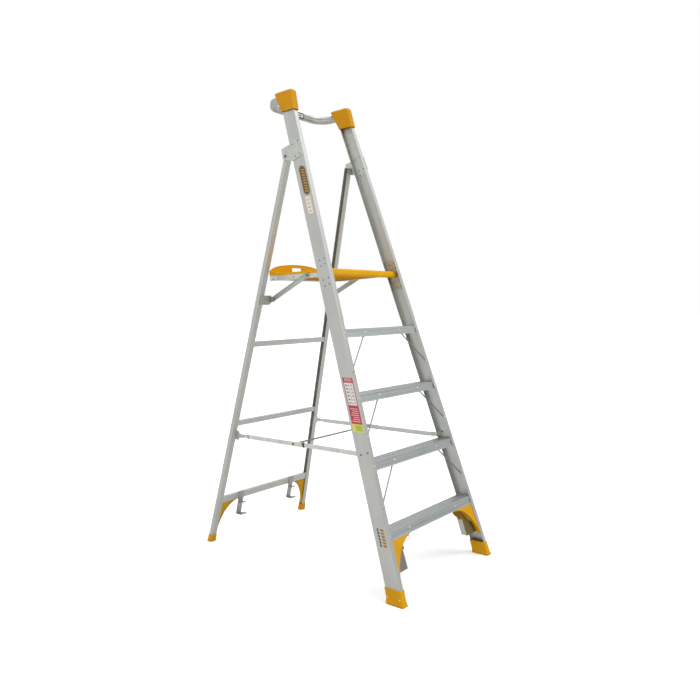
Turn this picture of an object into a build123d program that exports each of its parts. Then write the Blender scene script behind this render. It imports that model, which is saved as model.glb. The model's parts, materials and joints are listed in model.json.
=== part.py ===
from build123d import *
import os, math

os.makedirs("parts", exist_ok=True)

# ---------------------------------------------------------------- driving dimensions (mm)
# Origin: floor level, centre of the footprint. +Z up, climbing side faces -Y, +X is across.
FY0, KF = -685.9, 0.3213      # front face of the front stiles: y = FY0 + KF*z
WX0, KW = 393.5, 0.0674       # outer web face of the front stiles: |x| = WX0 - KW*z
ST_D, ST_F = 81.9, 25.0       # front stile depth (level) and flange width
T_W, T_F = 2.8, 3.0           # front stile web and flange thickness
ST_TOP = 2400.0
RY0, KR = 685.9, 0.2708       # rear face of the rear stiles: y = RY0 - KR*z
RX0, KX = 381.6, 0.0625       # outer web face of the rear stiles: |x| = RX0 - KX*z
RS_D, RS_F, T_R = 27.7, 30.6, 2.4
RS_TOP = 2104.0
TREADS = (305.0, 605.0, 905.0, 1205.0)   # tread heights
TREAD_DEPTH, TREAD_SKIRT, TREAD_REAR = 68.0, 39.0, 22.0
BRACE_DROP, BRACE_IN = 173.3, 172.0
DECK_Z, DECK_HALF, DECK_T = 1501.0, 205.0, 13.0
DECK_REAR = 303.0
HINGE = (108.5, 2083.0)       # main fold axis (y, z), axis along X
PIV_A = (-176.0, 1482.0)      # platform pivot
PIV_B = (21.0, 1479.0)        # strut to platform rail
PIV_C = (277.0, 1361.0)       # strut to rear frame
SP_F = (-385.0, 622.0)        # spreader to front stile
SP_M = (50.0, 621.0)          # spreader knee
SP_R = (438.0, 619.0)         # spreader to rear stile
PIN_R, BORE_R = 4.0, 4.06
RAIL_Z0, RAIL_Z1 = 2360.0, 2402.0        # guardrail band
RAIL_HALF, RAIL_BACK = 220.0, 287.0
CAP_Z0, CAP_Z1 = 2313.0, 2421.0


def Fy(z): return FY0 + KF * z
def Wx(z): return WX0 - KW * z
def Ry(z): return RY0 - KR * z
def Rx(z): return RX0 - KX * z


# ---------------------------------------------------------------- helpers (right-hand side, x > 0)
def face(pts3):
    return Face(Wire.make_polygon([Vector(*p) for p in pts3], close=True))


def sweep_face(pts3, vec):
    return Solid.extrude(face(pts3), Vector(*vec))


def box(x0, x1, y0, y1, z0, z1):
    return sweep_face([(x0, y0, z0), (x1, y0, z0), (x1, y1, z0), (x0, y1, z0)], (0, 0, z1 - z0))


def slab_x(pts, x0, x1):      # (y, z) outline, thickness along X
    return sweep_face([(x0, y, z) for y, z in pts], (x1 - x0, 0, 0))


def slab_y(pts, y0, y1):      # (x, z) outline
    return sweep_face([(x, y0, z) for x, z in pts], (0, y1 - y0, 0))


def slab_z(pts, z0, z1):      # (x, y) outline
    return sweep_face([(x, y, z0) for x, y in pts], (0, 0, z1 - z0))


def web(pts, o0, o1):         # on the front stile web, offsets along X from the outer face
    return sweep_face([(Wx(z) + o0, y, z) for y, z in pts], (o1 - o0, 0, 0))


def front(pts, o0, o1):       # parallel to the front plane, offsets along Y
    return sweep_face([(x, Fy(z) + o0, z) for x, z in pts], (0, o1 - o0, 0))


def rear(pts, o0, o1):        # parallel to the rear plane, offsets along Y
    return sweep_face([(x, Ry(z) + o0, z) for x, z in pts], (0, o1 - o0, 0))


def cyl(p, d, r, h):
    return Solid.make_cylinder(r, h, Plane(origin=Vector(*p), z_dir=Vector(*d)))


def cylx(y, z, r, x0, x1):
    return cyl((x0, y, z), (1, 0, 0), r, x1 - x0)


def rod(p, q, r):
    v = Vector(*q) - Vector(*p)
    return Solid.make_cylinder(r, v.length, Plane(origin=Vector(*p), z_dir=v))


def dome(p, d, r=4.6, h=2.2):  # rivet head standing on a surface
    return Solid.make_cone(r, r * 0.62, h, Plane(origin=Vector(*p), z_dir=Vector(*d)))


def fuse(*s):
    a = s[0]
    for b in s[1:]:
        a = a.fuse(b)
    return one(a)


def one(a):
    s = a.solids() if not isinstance(a, Solid) else [a]
    if len(s) != 1:
        print("   !! expected one solid, got", len(s))
    return s[0]


def cut(a, *t):
    for b in t:
        a = a.cut(b)
    return one(a)


def mir(s):
    return s.mirror(Plane.YZ)


def group(items):
    out = []
    for i in items:
        out.extend(i.solids() if not isinstance(i, Solid) else [i])
    return Compound(out)


def curve(p0, c, p1, n=9):
    return [((1 - t) ** 2 * p0[0] + 2 * t * (1 - t) * c[0] + t * t * p1[0],
             (1 - t) ** 2 * p0[1] + 2 * t * (1 - t) * c[1] + t * t * p1[1])
            for t in [i / (n - 1) for i in range(n)]]


def bar_outline(p, q, w, tail=0.0, n=9):
    """Outline of a flat bar of width w from pivot p to pivot q with round ends, q end extended by tail."""
    L = math.hypot(q[0] - p[0], q[1] - p[1])
    ux, uz = (q[0] - p[0]) / L, (q[1] - p[1]) / L
    r = w / 2
    pts = []
    for i in range(n):
        a = math.pi / 2 + math.pi * i / (n - 1)
        pts.append((r * math.cos(a), r * math.sin(a)))
    e = L + tail
    for i in range(n):
        a = -math.pi / 2 + math.pi * i / (n - 1)
        pts.append((e + r * math.cos(a), r * math.sin(a)))
    return [(p[0] + s * ux - t * uz, p[1] + s * uz + t * ux) for s, t in pts]


def bar_lip(p, q, s0, s1, t0, t1):
    L = math.hypot(q[0] - p[0], q[1] - p[1])
    ux, uz = (q[0] - p[0]) / L, (q[1] - p[1]) / L
    return [(p[0] + s * ux - t * uz, p[1] + s * uz + t * ux) for s, t in ((s0, t0), (s1, t0), (s1, t1), (s0, t1))]


NODES = {}


def put(name, shape):
    NODES[name] = shape


def pair(name, shape):
    put(name + "_right", shape)
    put(name + "_left", mir(shape))


N_WEB = (1, 0, KW)
N_FRONT = (0, -1, KF)
N_REAR_WEB = (1, 0, KX)

# ---------------------------------------------------------------- front stiles: channels, web outside
def stile_section(z):
    w, f = Wx(z), Fy(z)
    c = 1.6
    return [(w - c, f), (w, f + c), (w, f + ST_D - c), (w - c, f + ST_D), (w - ST_F, f + ST_D),
            (w - ST_F, f + ST_D - T_F), (w - T_W, f + ST_D - T_F), (w - T_W, f + T_F),
            (w - ST_F, f + T_F), (w - ST_F, f)]


def stile_envelope(z0, z1, g):
    w, f = Wx(z0), Fy(z0)
    p = [(w - ST_F - g, f - g), (w + g, f - g), (w + g, f + ST_D + g), (w - ST_F - g, f + ST_D + g)]
    return sweep_face([(x, y, z0) for x, y in p], (-(z1 - z0) * KW, (z1 - z0) * KF, z1 - z0))


z0 = 6.0
pair("front_stile", sweep_face([(x, y, z0) for x, y in stile_section(z0)],
                               (-(ST_TOP - z0) * KW, (ST_TOP - z0) * KF, ST_TOP - z0)))

# ---------------------------------------------------------------- steps: ribbed channel extrusions, ends cut to the webs
trap = [(-(Wx(0) - T_W - 0.05), 0), (Wx(0) - T_W - 0.05, 0), (Wx(1600) - T_W - 0.05, 1600), (-(Wx(1600) - T_W - 0.05), 1600)]
between = slab_y(trap, -800, 500)
for i, zt in enumerate(TREADS):
    zb = zt - TREAD_SKIRT
    f0 = Fy(zt) + T_F + 0.1
    pts = [(f0, zt)]
    y = f0 + 5.5
    while y + 8.5 < Fy(zt) + TREAD_DEPTH - 4.0:
        pts += [(y, zt), (y + 0.8, zt - 2.8), (y + 7.2, zt - 2.8), (y + 8.0, zt)]
        y += 15.0
    yr = Fy(zt) + TREAD_DEPTH
    pts += [(yr, zt), (yr, zt - TREAD_REAR), (yr - 2.4, zt - TREAD_REAR), (yr - 2.4, zt - 5.2),
            (Fy(zt - 5.2) + T_F + 3.3, zt - 5.2), (Fy(zb) + T_F + 3.3, zb), (Fy(zb) + T_F + 0.1, zb),
            (Fy(zb + 3) + T_F + 0.1, zb + 3), (Fy(zb + 3.6) + T_F + 0.9, zb + 3.6),
            (Fy(zt - 11) + T_F + 0.9, zt - 11), (Fy(zt - 10) + T_F + 0.1, zt - 10)]
    s = slab_x(pts, -395, 395)
    put(f"step_{i + 1}", one(s.intersect(between)))

# ---------------------------------------------------------------- brace rods under steps 2-4
rods, bolts = [], []
for zt in TREADS:
    zr = zt - 18.3
    xb = Wx(zr) - BRACE_IN
    bolts.append(dome((xb, Fy(zr) + T_F + 0.9, zr), N_FRONT, 4.4, 2.0))
for zt in TREADS[1:]:
    zr = zt - 18.3
    xb = Wx(zr) - BRACE_IN
    z2 = zr - BRACE_DROP
    xf = Wx(z2) - 13.5
    rods.append(rod((xb, Fy(zr) + 10.4, zr - 2), (xf, Fy(z2) + T_F + 3.9, z2), 3.6))
    bolts.append(dome((xf, Fy(z2), z2), N_FRONT, 4.8, 2.4))
put("brace_rods", group(rods + [mir(s) for s in rods]))
put("brace_bolts", group(bolts + [mir(s) for s in bolts]))
riv = []
for zt in TREADS:
    zr = zt - 18.3
    riv.append(dome((Wx(zr) - 12.0, Fy(zr), zr), N_FRONT, 4.6, 2.2))
    riv.append(dome((Wx(zr) - 12.0, Fy(zr) + ST_D, zr), (0, 1, -KF), 4.6, 2.2))
put("step_rivets", group(riv + [mir(s) for s in riv]))

# ---------------------------------------------------------------- moulded corner gussets under the bottom step
zt, zb = TREADS[0], TREADS[0] - TREAD_SKIRT
wi = lambda z: Wx(z) - T_W - 0.2
crv = curve((204.0, zb - 0.2), (318.0, 244.0), (wi(112) - 24, 112.0), 11)
outer = crv + [(wi(112), 112.0), (wi(zb - 0.2), zb - 0.2)]
plate = front(outer, T_F + 0.2, T_F + 4.2)
c2 = curve((204.0 + 6, zb - 0.2), (321.0, 249.0), (wi(112) - 20, 112.0), 11)
lip = front(crv + c2[::-1], T_F + 0.2, 22.0)
# the upper part of the arch runs back under the tread and drops towards the rear
c3 = curve((196.0, 262.0), (290.0, 232.0), (335.0, 150.0), 11)
c4 = curve((202.0, 265.5), (296.0, 238.0), (341.0, 153.0), 11)


def arch_wire(pts, o):
    return Wire.make_polygon([Vector(x, Fy(z) + o, z) for x, z in pts], close=True)


deep = Solid.make_loft([arch_wire(crv[:7] + c2[:7][::-1], 20.0), arch_wire(c3[:7] + c4[:7][::-1], 76.0)], True)
# inner wall hanging from the arch, its lower edge stepped up towards the rear
wall = slab_x([(Fy(206) + 20.5, 206), (Fy(198) + 45.6, 198), (Fy(221) + 76.0, 221), (Fy(243.5) + 76.0, 243.5), (Fy(243.5) + 20.5, 243.5)], 262.4, 265.6)
pair("step_gusset", fuse(plate, lip, deep, wall))
# folded plates that hang behind the gussets, across to the stile webs
la = front([(266, 121), (Wx(121) - T_W - 0.1, 121), (Wx(180) - T_W - 0.1, 180), (312, 180), (298, 206), (283, 223), (266, 236)], 26.0, 29.0)
lb = front([(266, 121), (269, 121), (269, 227.5), (266, 227.5)], 28.0, 60.0)
lp = fuse(la, lb)
put("latch_plates", group([lp, mir(lp)]))

# ---------------------------------------------------------------- front feet: sockets with a flared sole
def rect_wire(x0, x1, y0, y1, z):
    return Wire.make_polygon([Vector(x0, y0, z), Vector(x1, y0, z), Vector(x1, y1, z), Vector(x0, y1, z)], close=True)


zf = 67.0
boot = Solid.make_loft([
    rect_wire(Wx(0) - 31.5, Wx(0) + 9, Fy(0) - 3.0, Fy(0) + ST_D + 11, 0),
    rect_wire(Wx(zf) - 29.5, Wx(zf) + 3.4, Fy(zf) - 3.6, Fy(zf) + ST_D + 4.2, zf)], True)
boot = cut(boot, stile_envelope(5.8, zf + 5, 0.2))
pair("front_foot", boot)

# ---------------------------------------------------------------- head caps, guardrail
def capx(z): return Wx(z) - 34.0


cap_pts = [(Fy(CAP_Z0) - 7.0, CAP_Z0), (Fy(CAP_Z1 - 7) - 17.0, CAP_Z1 - 7), (Fy(CAP_Z1) - 9.0, CAP_Z1), (196.0, CAP_Z1 - 1.5),
           (203.0, CAP_Z1 - 8.0), (Fy(CAP_Z0) + ST_D + 4.0, CAP_Z0)]
cap = sweep_face([(capx(z), y, z) for y, z in cap_pts], (42.5, 0, 0))
for rad in (5.0, 4.0, 3.0, 2.0):
    try:
        es = [e for e in cap.edges() if e.length > 60 or abs(e.tangent_at(0.5).X) > 0.9]
        cap = one(cap.fillet(rad, es))
        break
    except Exception as ex:
        print("cap fillet", rad, "skipped")
cap = cut(cap, stile_envelope(CAP_Z0 - 20, ST_TOP + 0.3, 0.3))


def u_band(half, back, r, y0, t):
    """Plan outline of a U band, centre line half/back/r, thickness t, legs starting at y0."""
    def side(o):
        h, b, rr = half + o, back + o, r + o
        pts = [(h, y0)]
        for i in range(13):
            a = math.pi / 2 * i / 12
            pts.append((h - rr + rr * math.cos(a), b - rr + rr * math.sin(a)))
        return pts
    out, inn = side(t / 2), side(-t / 2)
    o_full = out + [(-x, y) for x, y in out[::-1]]
    i_full = inn + [(-x, y) for x, y in inn[::-1]]
    return o_full + i_full[::-1]


rail_y0 = 170.5
band = slab_z(u_band(RAIL_HALF, RAIL_BACK, 88.0, rail_y0, 20.0), RAIL_Z0, RAIL_Z1)
try:
    be = [e for e in band.edges() if abs(e.tangent_at(0.5).Z) < 0.01 and e.center().Y > rail_y0 + 0.5]
    band = one(band.fillet(7.0, be))
except Exception as ex:
    print("band fillet skipped", ex)
put("guardrail", band)
pocket = box(RAIL_HALF - 10.2, RAIL_HALF + 10.2, rail_y0 - 0.1, 240, RAIL_Z0 - 0.2, RAIL_Z1 + 0.2)
cap = cut(cap, pocket)
pair("head_cap", cap)
gb = cyl((capx(2381), 178.0, 2381.0), (-1, 0, -KW), 5.0, 3.0)
put("guardrail_bolts", group([gb, mir(gb)]))

# ---------------------------------------------------------------- top hinge
hp = [(2.0, 2146.0), (37.4, 2162.5), (79.0, 2137.5), (140.0, 2123.0), (124.0, 2066.0), (55.0, 2050.6), (-21.0, 2075.0)]
hplate = web(hp, 0.0, 3.0)
hplate = cut(hplate, cylx(HINGE[0], HINGE[1], 5.05, 245, 265))
pair("hinge_plate", hplate)
hc = web([(Fy(2040) + 7, 2040), (Fy(2040) + 74, 2040), (Fy(2312) + 74, 2312), (Fy(2312) + 7, 2312)], -T_W - 2.4, -T_W)
put("head_channels", group([hc, mir(hc)]))
hb = fuse(cylx(HINGE[0], HINGE[1], 5.0, 241.5, 257.2), cylx(HINGE[0], HINGE[1], 8.6, 256.8, 262.6),
          cylx(HINGE[0], HINGE[1], 8.2, 240.5, 247.9))
put("hinge_bolts", group([hb, mir(hb)]))

# ---------------------------------------------------------------- platform brackets on the front stiles
pb = web([(Fy(1404) + 8, 1404), (Fy(1404) + 72, 1404), (Fy(1562) + 72, 1562), (Fy(1562) + 8, 1562)], -T_W - 3.0, -T_W)
pair("platform_bracket", pb)
pa = cylx(PIV_A[0], PIV_A[1], 5.0, 263.0, Wx(1482) - T_W - 3.35)
# spreader brackets on the front stiles: folded plate round the rear flange
sb1 = web([(-481, 610), (-417, 610), (-417, 660), (-465, 660)], -T_W - 3.0, -T_W)
sb2 = box(307, 346.6, -421, -418, 610, 634)
sb3 = slab_x([(-421, 610), (-385, 610), (-376, 614), (-372.5, 622), (-376, 630), (-385, 634), (-421, 634)], 307, 310)
sb = cut(fuse(sb1, sb2, sb3), cylx(SP_F[0], SP_F[1], 4.02, 300, 320))
put("spreader_brackets_front", group([sb, mir(sb)]))
sp = fuse(cylx(SP_F[0], SP_F[1], PIN_R, 301.0, 311.5), cylx(SP_F[0], SP_F[1], 6.5, 310.05, 312.8), cylx(SP_F[0], SP_F[1], 6.5, 299.6, 302.7))
put("pivot_pins_front", group([pa, mir(pa), sp, mir(sp)]))
pr = []
for y, z in ((-171, 1549), (-142, 1539), (-178, 1522), (-152.5, 1512), (-203, 1454), (-171, 1443.6), (-210, 1423), (-182, 1414)):
    pr.append(dome((Wx(z), y, z), N_WEB, 3.8, 1.8))
    pr.append(dome((Wx(z) - T_W - 3.0, y, z), (-1, 0, -KW), 3.8, 1.8))
for y, z in ((24, 2147.5), (60, 2135), (6, 2081), (34.7, 2071)):
    pr.append(dome((Wx(z) + 3.0, y, z), N_WEB, 3.8, 1.8))
    pr.append(dome((Wx(z) - T_W - 2.4, y, z), (-1, 0, -KW), 3.8, 1.8))
pr.append(dome((Wx(2046) - T_W - 2.45, 30, 2046), (-1, 0, -KW), 3.8, 1.8))
for y, z in ((-427.8, 633.2), (-465.4, 645.7)):
    pr.append(dome((Wx(z), y, z), N_WEB, 5.0, 2.6))
    pr.append(dome((Wx(z) - T_W - 3.0, y, z), (-1, 0, -KW), 5.0, 3.0))
put("plate_rivets", group(pr + [mir(s) for s in pr]))

# ---------------------------------------------------------------- labels on the left web (plain films, no lettering)
def film(z0, z1, d0, d1):
    return mir(web([(Fy(z0) + d0, z0), (Fy(z0) + d1, z0), (Fy(z1) + d1, z1), (Fy(z1) + d0, z1)], 0.0, 0.4))


put("label_upper", film(1768, 2020, 15, 55))
put("label_middle", film(735, 982, 6, 68))
put("label_lower", film(232, 322, 5, 53))

# ---------------------------------------------------------------- rear stiles: channels, web outside
def rear_section(z):
    r, y = Rx(z), Ry(z)
    c = 1.2
    return [(r - c, y), (r, y - c), (r, y - RS_D + c), (r - c, y - RS_D), (r - RS_F, y - RS_D), (r - RS_F, y - RS_D + T_R),
            (r - T_R, y - RS_D + T_R), (r - T_R, y - T_R), (r - RS_F, y - T_R), (r - RS_F, y)]


def rear_envelope(z0, z1, g):
    r, y = Rx(z0), Ry(z0)
    p = [(r - RS_F - g, y - RS_D - g), (r + g, y - RS_D - g), (r + g, y + g), (r - RS_F - g, y + g)]
    return sweep_face([(a, b, z0) for a, b in p], (-(z1 - z0) * KX, -(z1 - z0) * KR, z1 - z0))


z0 = 5.0
rs = sweep_face([(x, y, z0) for x, y in rear_section(z0)], (-(RS_TOP - z0) * KX, -(RS_TOP - z0) * KR, RS_TOP - z0))
rs = cut(rs, cylx(HINGE[0], HINGE[1], 5.06, 235, 262))
# round the top end about the hinge axis
keep = fuse(cylx(HINGE[0], HINGE[1], 17.5, 200, 280), box(200, 420, -100, 900, 0, HINGE[1] - 4))
rs = one(rs.intersect(keep))
pair("rear_stile", rs)


def rung(za, zb_):
    def lim(z): return Rx(z) - T_R - 0.1
    w = rear([(-lim(za), za), (lim(za), za), (lim(zb_), zb_), (-lim(zb_), zb_)], -25.2, -22.8)
    t = rear([(-lim(zb_), zb_ - 2.4), (lim(zb_), zb_ - 2.4), (lim(zb_), zb_), (-lim(zb_), zb_)], -25.2, -2.6)
    b = rear([(-lim(za), za), (lim(za), za), (lim(za + 2.4), za + 2.4), (-lim(za + 2.4), za + 2.4)], -25.2, -2.6)
    # the ends follow the webs, so trim the lip ends to them
    lim_face = slab_y([(-lim(0), 0), (lim(0), 0), (lim(1300), 1300), (-lim(1300), 1300)], 0, 900)
    return one(fuse(w, t, b).intersect(lim_face))


put("rear_rung_top", rung(1108, 1137))
put("rear_rung_middle", rung(671, 700))
put("rear_rung_bottom", rung(222, 260))
rr_ = []
for z in (1122.5, 685.5, 241.0):
    for o in (-7.5, -20.0):
        rr_.append(dome((Rx(z), Ry(z) + o, z), N_REAR_WEB, 3.6, 1.8))

# rear moulded gussets and feet
ri = lambda z: Rx(z) - T_R - 0.3
crv = curve((ri(221) - 138, 221.6), (ri(150) - 42, 196), (ri(46) - 28, 46.0), 11)
gp = rear(crv + [(ri(46), 46.0), (ri(221.6), 221.6)], -20.0, -16.0)
c2 = curve((ri(221) - 131, 221.6), (ri(150) - 38, 201), (ri(46) - 25, 46.0), 11)
gl = rear(crv + c2[::-1], -24.0, -6.0)
pair("rear_gusset", fuse(gp, gl))
zc = 40.0
rf = Solid.make_loft([
    rect_wire(Rx(0) - 33.6, Rx(0) + 3.4, Ry(0) - RS_D - 3.4, Ry(0) + 3.0, 0),
    rect_wire(Rx(zc) - 33.0, Rx(zc) + 2.8, Ry(zc) - RS_D - 2.8, Ry(zc) + 2.8, zc)], True)
rf = cut(rf, rear_envelope(4.8, zc + 5, 0.2))
pair("rear_foot", rf)

# hook brackets on the bottom rung
h1 = rear([(182, 219), (224, 219), (224, 262.8), (182, 262.8)], -28.0, -25.3)
h2 = rear([(182, 260.2), (224, 260.2), (224, 262.8), (182, 262.8)], -28.0, -9.0)
h3 = rear([(184, 128), (222, 128), (222, 220), (184, 220)], -28.0, -25.3)
ylo, yup = Ry(128) - 28.0, Ry(196) - 28.0
h4 = box(184, 222, ylo - 46, ylo + 1.5, 128, 130.8)
h5 = box(184, 222, ylo - 46, ylo - 43.2, 128, 140)
h6 = box(184, 222, yup - 30, yup + 1.5, 196, 198.8)
h7 = box(184, 222, yup - 30, yup - 27.2, 196, 205)
hook = fuse(h1, h2, h3, h4, h5, h6, h7)
pair("latch_hook", hook)

# strut brackets: folded plate on the front flange with a pivot ear
y0s = lambda z: Ry(z) - RS_D
sp1 = rear([(215, 1338), (221, 1333), (292, 1333), (292, 1382), (221, 1382), (215, 1377)], -RS_D - 3.1, -RS_D - 0.1)
ear = slab_x([(y0s(1342) - 1.5, 1342), (278, 1347.5), (268, 1350), (263.5, 1357), (263.5, 1366), (268, 1372), (278, 1375.5),
              (y0s(1375) - 1.5, 1377)], 215, 218)
sbk = cut(fuse(sp1, ear), cylx(PIV_C[0], PIV_C[1], 4.02, 205, 230))
pair("strut_bracket", sbk)
scp = fuse(cylx(PIV_C[0], PIV_C[1], PIN_R, 206.5, 219.0), cylx(PIV_C[0], PIV_C[1], 7.0, 218.05, 221.5), cylx(PIV_C[0], PIV_C[1], 7.0, 204.6, 208.2))
# spreader brackets on the rear stiles
rb1 = rear([(312.6, 594), (340, 594), (340, 646), (312.6, 646)], -RS_D - 2.9, -RS_D - 0.1)
rb2 = slab_x([(y0s(595) - 1.5, 595), (468, 595), (461, 608), (438, 608), (430, 611.5), (427, 619), (430, 626.5), (438, 630), (459, 631),
              (464, 645), (y0s(645) - 1.5, 645)], 312.6, 315.6)
rb = cut(fuse(rb1, rb2), cylx(SP_R[0], SP_R[1], 4.02, 300, 325))
put("spreader_brackets_rear", group([rb, mir(rb)]))
srp = fuse(cylx(SP_R[0], SP_R[1], PIN_R, 307.2, 316.6), cylx(SP_R[0], SP_R[1], 6.5, 315.65, 318.6), cylx(SP_R[0], SP_R[1], 6.5, 306.6, 309.2))
put("pivot_pins_rear", group([scp, mir(scp), srp, mir(srp)]))
for z, x in ((1347, 280), (1369, 280), (607, 332), (633, 332)):
    rr_.append(dome((x, Ry(z) - RS_D - (3.1 if z > 1000 else 2.9), z), (0, -1, -KR), 3.8, 1.9))
put("rear_rivets", group(rr_ + [mir(s) for s in rr_]))

# ---------------------------------------------------------------- platform
D0 = -184.0
plan = [(281, D0), (281, -142), (262, -142), (259, -138), (DECK_HALF + 6, -108), (DECK_HALF, -98), (DECK_HALF, DECK_REAR)]
plan_full = plan + [(-x, y) for x, y in plan[::-1]]
deck = slab_z(plan_full, DECK_Z - DECK_T, DECK_Z)
hollow = slab_z([(-200.5, -138), (200.5, -138), (200.5, DECK_REAR - 7), (-200.5, DECK_REAR - 7)], DECK_Z - DECK_T - 5, DECK_Z - 4.5)
deck = cut(deck, hollow)
nose = slab_x([(D0, DECK_Z - 13), (D0, 1474), (D0 + 5, 1469), (-160, 1468), (-142, 1470), (-142, DECK_Z - 13)], -281, 281)
nose = cut(nose, box(-255, 255, D0 + 5, -147, 1460, DECK_Z - 4.5))
deck = cut(fuse(deck, nose), box(-255, 255, D0 + 5, -147, 1460, DECK_Z - 4.5))
for x in (-200, -100, 0, 100, 200):
    deck = fuse(deck, box(x - 1.5, x + 1.5, D0 + 4, -146, 1472, DECK_Z - 4))
arch = [(DECK_HALF, DECK_Z - DECK_T), (DECK_HALF, 1516), (180, 1531), (150, 1540), (120, 1546), (60, 1552), (0, 1554)]
arch_full = arch + [(-x, z) for x, z in arch[:-1][::-1]]
kick = slab_y(arch_full, DECK_REAR - 6, DECK_REAR)
hole = slab_y([(-39, 1519), (-34, 1514), (34, 1514), (39, 1519), (39, 1531), (34, 1536), (-34, 1536), (-39, 1531)], 280, 320)
ret = slab_x([(228, DECK_Z - 1), (DECK_REAR - 1, DECK_Z - 1), (DECK_REAR - 1, 1515.5), (285, 1513), (262, 1507)], DECK_HALF - 6, DECK_HALF)
deck = fuse(deck, kick, ret, mir(ret))
for x in (-150, -75, 0, 75, 150):
    deck = fuse(deck, box(x - 1.5, x + 1.5, -143, DECK_REAR - 3, 1474, DECK_Z - 4))
for y in (-60, 20, 100, 180, 296):
    deck = fuse(deck, box(-187, 187, y - 1.5, y + 1.5, 1474, DECK_Z - 4))
for k in range(23):
    y = -168 + k * 20.0
    h = 262 if y < -140 else 190
    deck = fuse(deck, box(-h, h, y - 3, y + 3, DECK_Z - 0.5, DECK_Z + 1.4))
deck = cut(deck, hole, cylx(PIV_A[0], PIV_A[1], 5.06, 262.0, 290), cylx(PIV_A[0], PIV_A[1], 5.06, -290, -262.0))
put("platform_deck", deck)
z1 = DECK_Z - DECK_T - 0.1
side = slab_y([(206, 1461), (206, z1), (190, z1), (190, z1 - 2.5), (203.5, z1 - 2.5), (203.5, 1463.5), (190, 1463.5), (190, 1461)], -141.8, 301)
pair("platform_rail", side)
put("platform_cross_rail", box(-203.3, 203.3, 262, 288, 1463.7, 1473.8))
pf = [cylx(PIV_B[0], PIV_B[1], 6.0, 206.0, 208.2)]
for y, z in ((-110, 1474), (120, 1474), (275, 1468.7)):
    pf.append(dome((206.0, y, z), (1, 0, 0), 3.6, 1.6))
put("platform_rivets", group(pf + [mir(s) for s in pf]))

# ---------------------------------------------------------------- platform struts
stw = 26.0
out = slab_x(bar_outline(PIV_C, PIV_B, stw), 208.5, 210.9)
L = math.hypot(PIV_B[0] - PIV_C[0], PIV_B[1] - PIV_C[1])
st = fuse(out, slab_x(bar_lip(PIV_C, PIV_B, 22, L - 20, 10.6, 13), 208.5, 213.5), slab_x(bar_lip(PIV_C, PIV_B, 22, L - 20, -13, -10.6), 208.5, 213.5),
          cylx(PIV_B[0], PIV_B[1], 7.0, 210.9, 213.6))
st = cut(st, cylx(PIV_C[0], PIV_C[1], BORE_R, 200, 225))
pair("platform_strut", st)

# ---------------------------------------------------------------- spreaders
LF = math.hypot(SP_M[0] - SP_F[0], SP_M[1] - SP_F[1])
sf = slab_x(bar_outline(SP_F, SP_M, 22), 303.0, 305.0)
sf = fuse(sf, slab_x(bar_lip(SP_F, SP_M, 18, LF - 14, 9, 11), 298.5, 305), slab_x(bar_lip(SP_F, SP_M, 18, LF - 14, -11, -9), 298.5, 305))
sf = cut(sf, cylx(SP_F[0], SP_F[1], BORE_R, 295, 310))
pair("spreader_front", sf)
LR = math.hypot(SP_M[0] - SP_R[0], SP_M[1] - SP_R[1])
sr = slab_x(bar_outline(SP_R, SP_M, 22, 50.0), 309.5, 311.5)
sr = fuse(sr, slab_x(bar_lip(SP_R, SP_M, 18, LR + 50, 9, 11), 306.6, 311.5), slab_x(bar_lip(SP_R, SP_M, 18, LR + 50, -11, -9), 306.6, 311.5),
          cylx(SP_M[0], SP_M[1], 7.0, 311.5, 314.5), cylx(SP_M[0], SP_M[1], 6.0, 306.5, 309.5))
sr = cut(sr, cylx(SP_R[0], SP_R[1], BORE_R, 300, 320))
pair("spreader_rear", sr)
put("spreader_cross_rod", cylx(SP_M[0], SP_M[1], 4.5, -303.0, 303.0))
ub = cut(box(297.0, 306.3, -22, -12.4, SP_M[1] - 12.8, SP_M[1] + 12.8), box(290, 305.0, -40, 0, SP_M[1] - 11.3, SP_M[1] + 11.3))
put("spreader_buffers", group([ub, mir(ub)]))

for name, shape in NODES.items():
    export_step(shape, f"parts/{name}.step")
print(len(NODES), "nodes")
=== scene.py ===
import bpy, bmesh, math, json
from mathutils import Vector, Matrix

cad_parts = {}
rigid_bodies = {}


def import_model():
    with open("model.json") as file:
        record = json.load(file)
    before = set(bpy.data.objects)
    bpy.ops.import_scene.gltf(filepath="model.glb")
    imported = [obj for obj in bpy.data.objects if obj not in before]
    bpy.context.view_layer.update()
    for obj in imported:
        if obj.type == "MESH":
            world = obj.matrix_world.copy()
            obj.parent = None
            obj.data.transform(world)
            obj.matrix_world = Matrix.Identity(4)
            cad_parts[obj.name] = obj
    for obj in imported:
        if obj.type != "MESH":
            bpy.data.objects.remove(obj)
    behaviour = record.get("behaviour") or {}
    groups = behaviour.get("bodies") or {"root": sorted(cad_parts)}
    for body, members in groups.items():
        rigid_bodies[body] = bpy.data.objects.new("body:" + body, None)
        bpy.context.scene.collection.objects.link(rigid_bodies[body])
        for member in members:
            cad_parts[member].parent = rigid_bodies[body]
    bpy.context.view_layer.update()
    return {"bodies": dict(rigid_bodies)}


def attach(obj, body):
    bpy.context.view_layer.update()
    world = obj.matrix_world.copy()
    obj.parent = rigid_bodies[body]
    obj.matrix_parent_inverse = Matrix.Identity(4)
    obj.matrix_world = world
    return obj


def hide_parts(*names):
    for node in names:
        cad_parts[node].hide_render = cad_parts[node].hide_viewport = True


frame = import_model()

S = 0.001                      # the geometry below is written in millimetres
rad = math.radians

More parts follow.
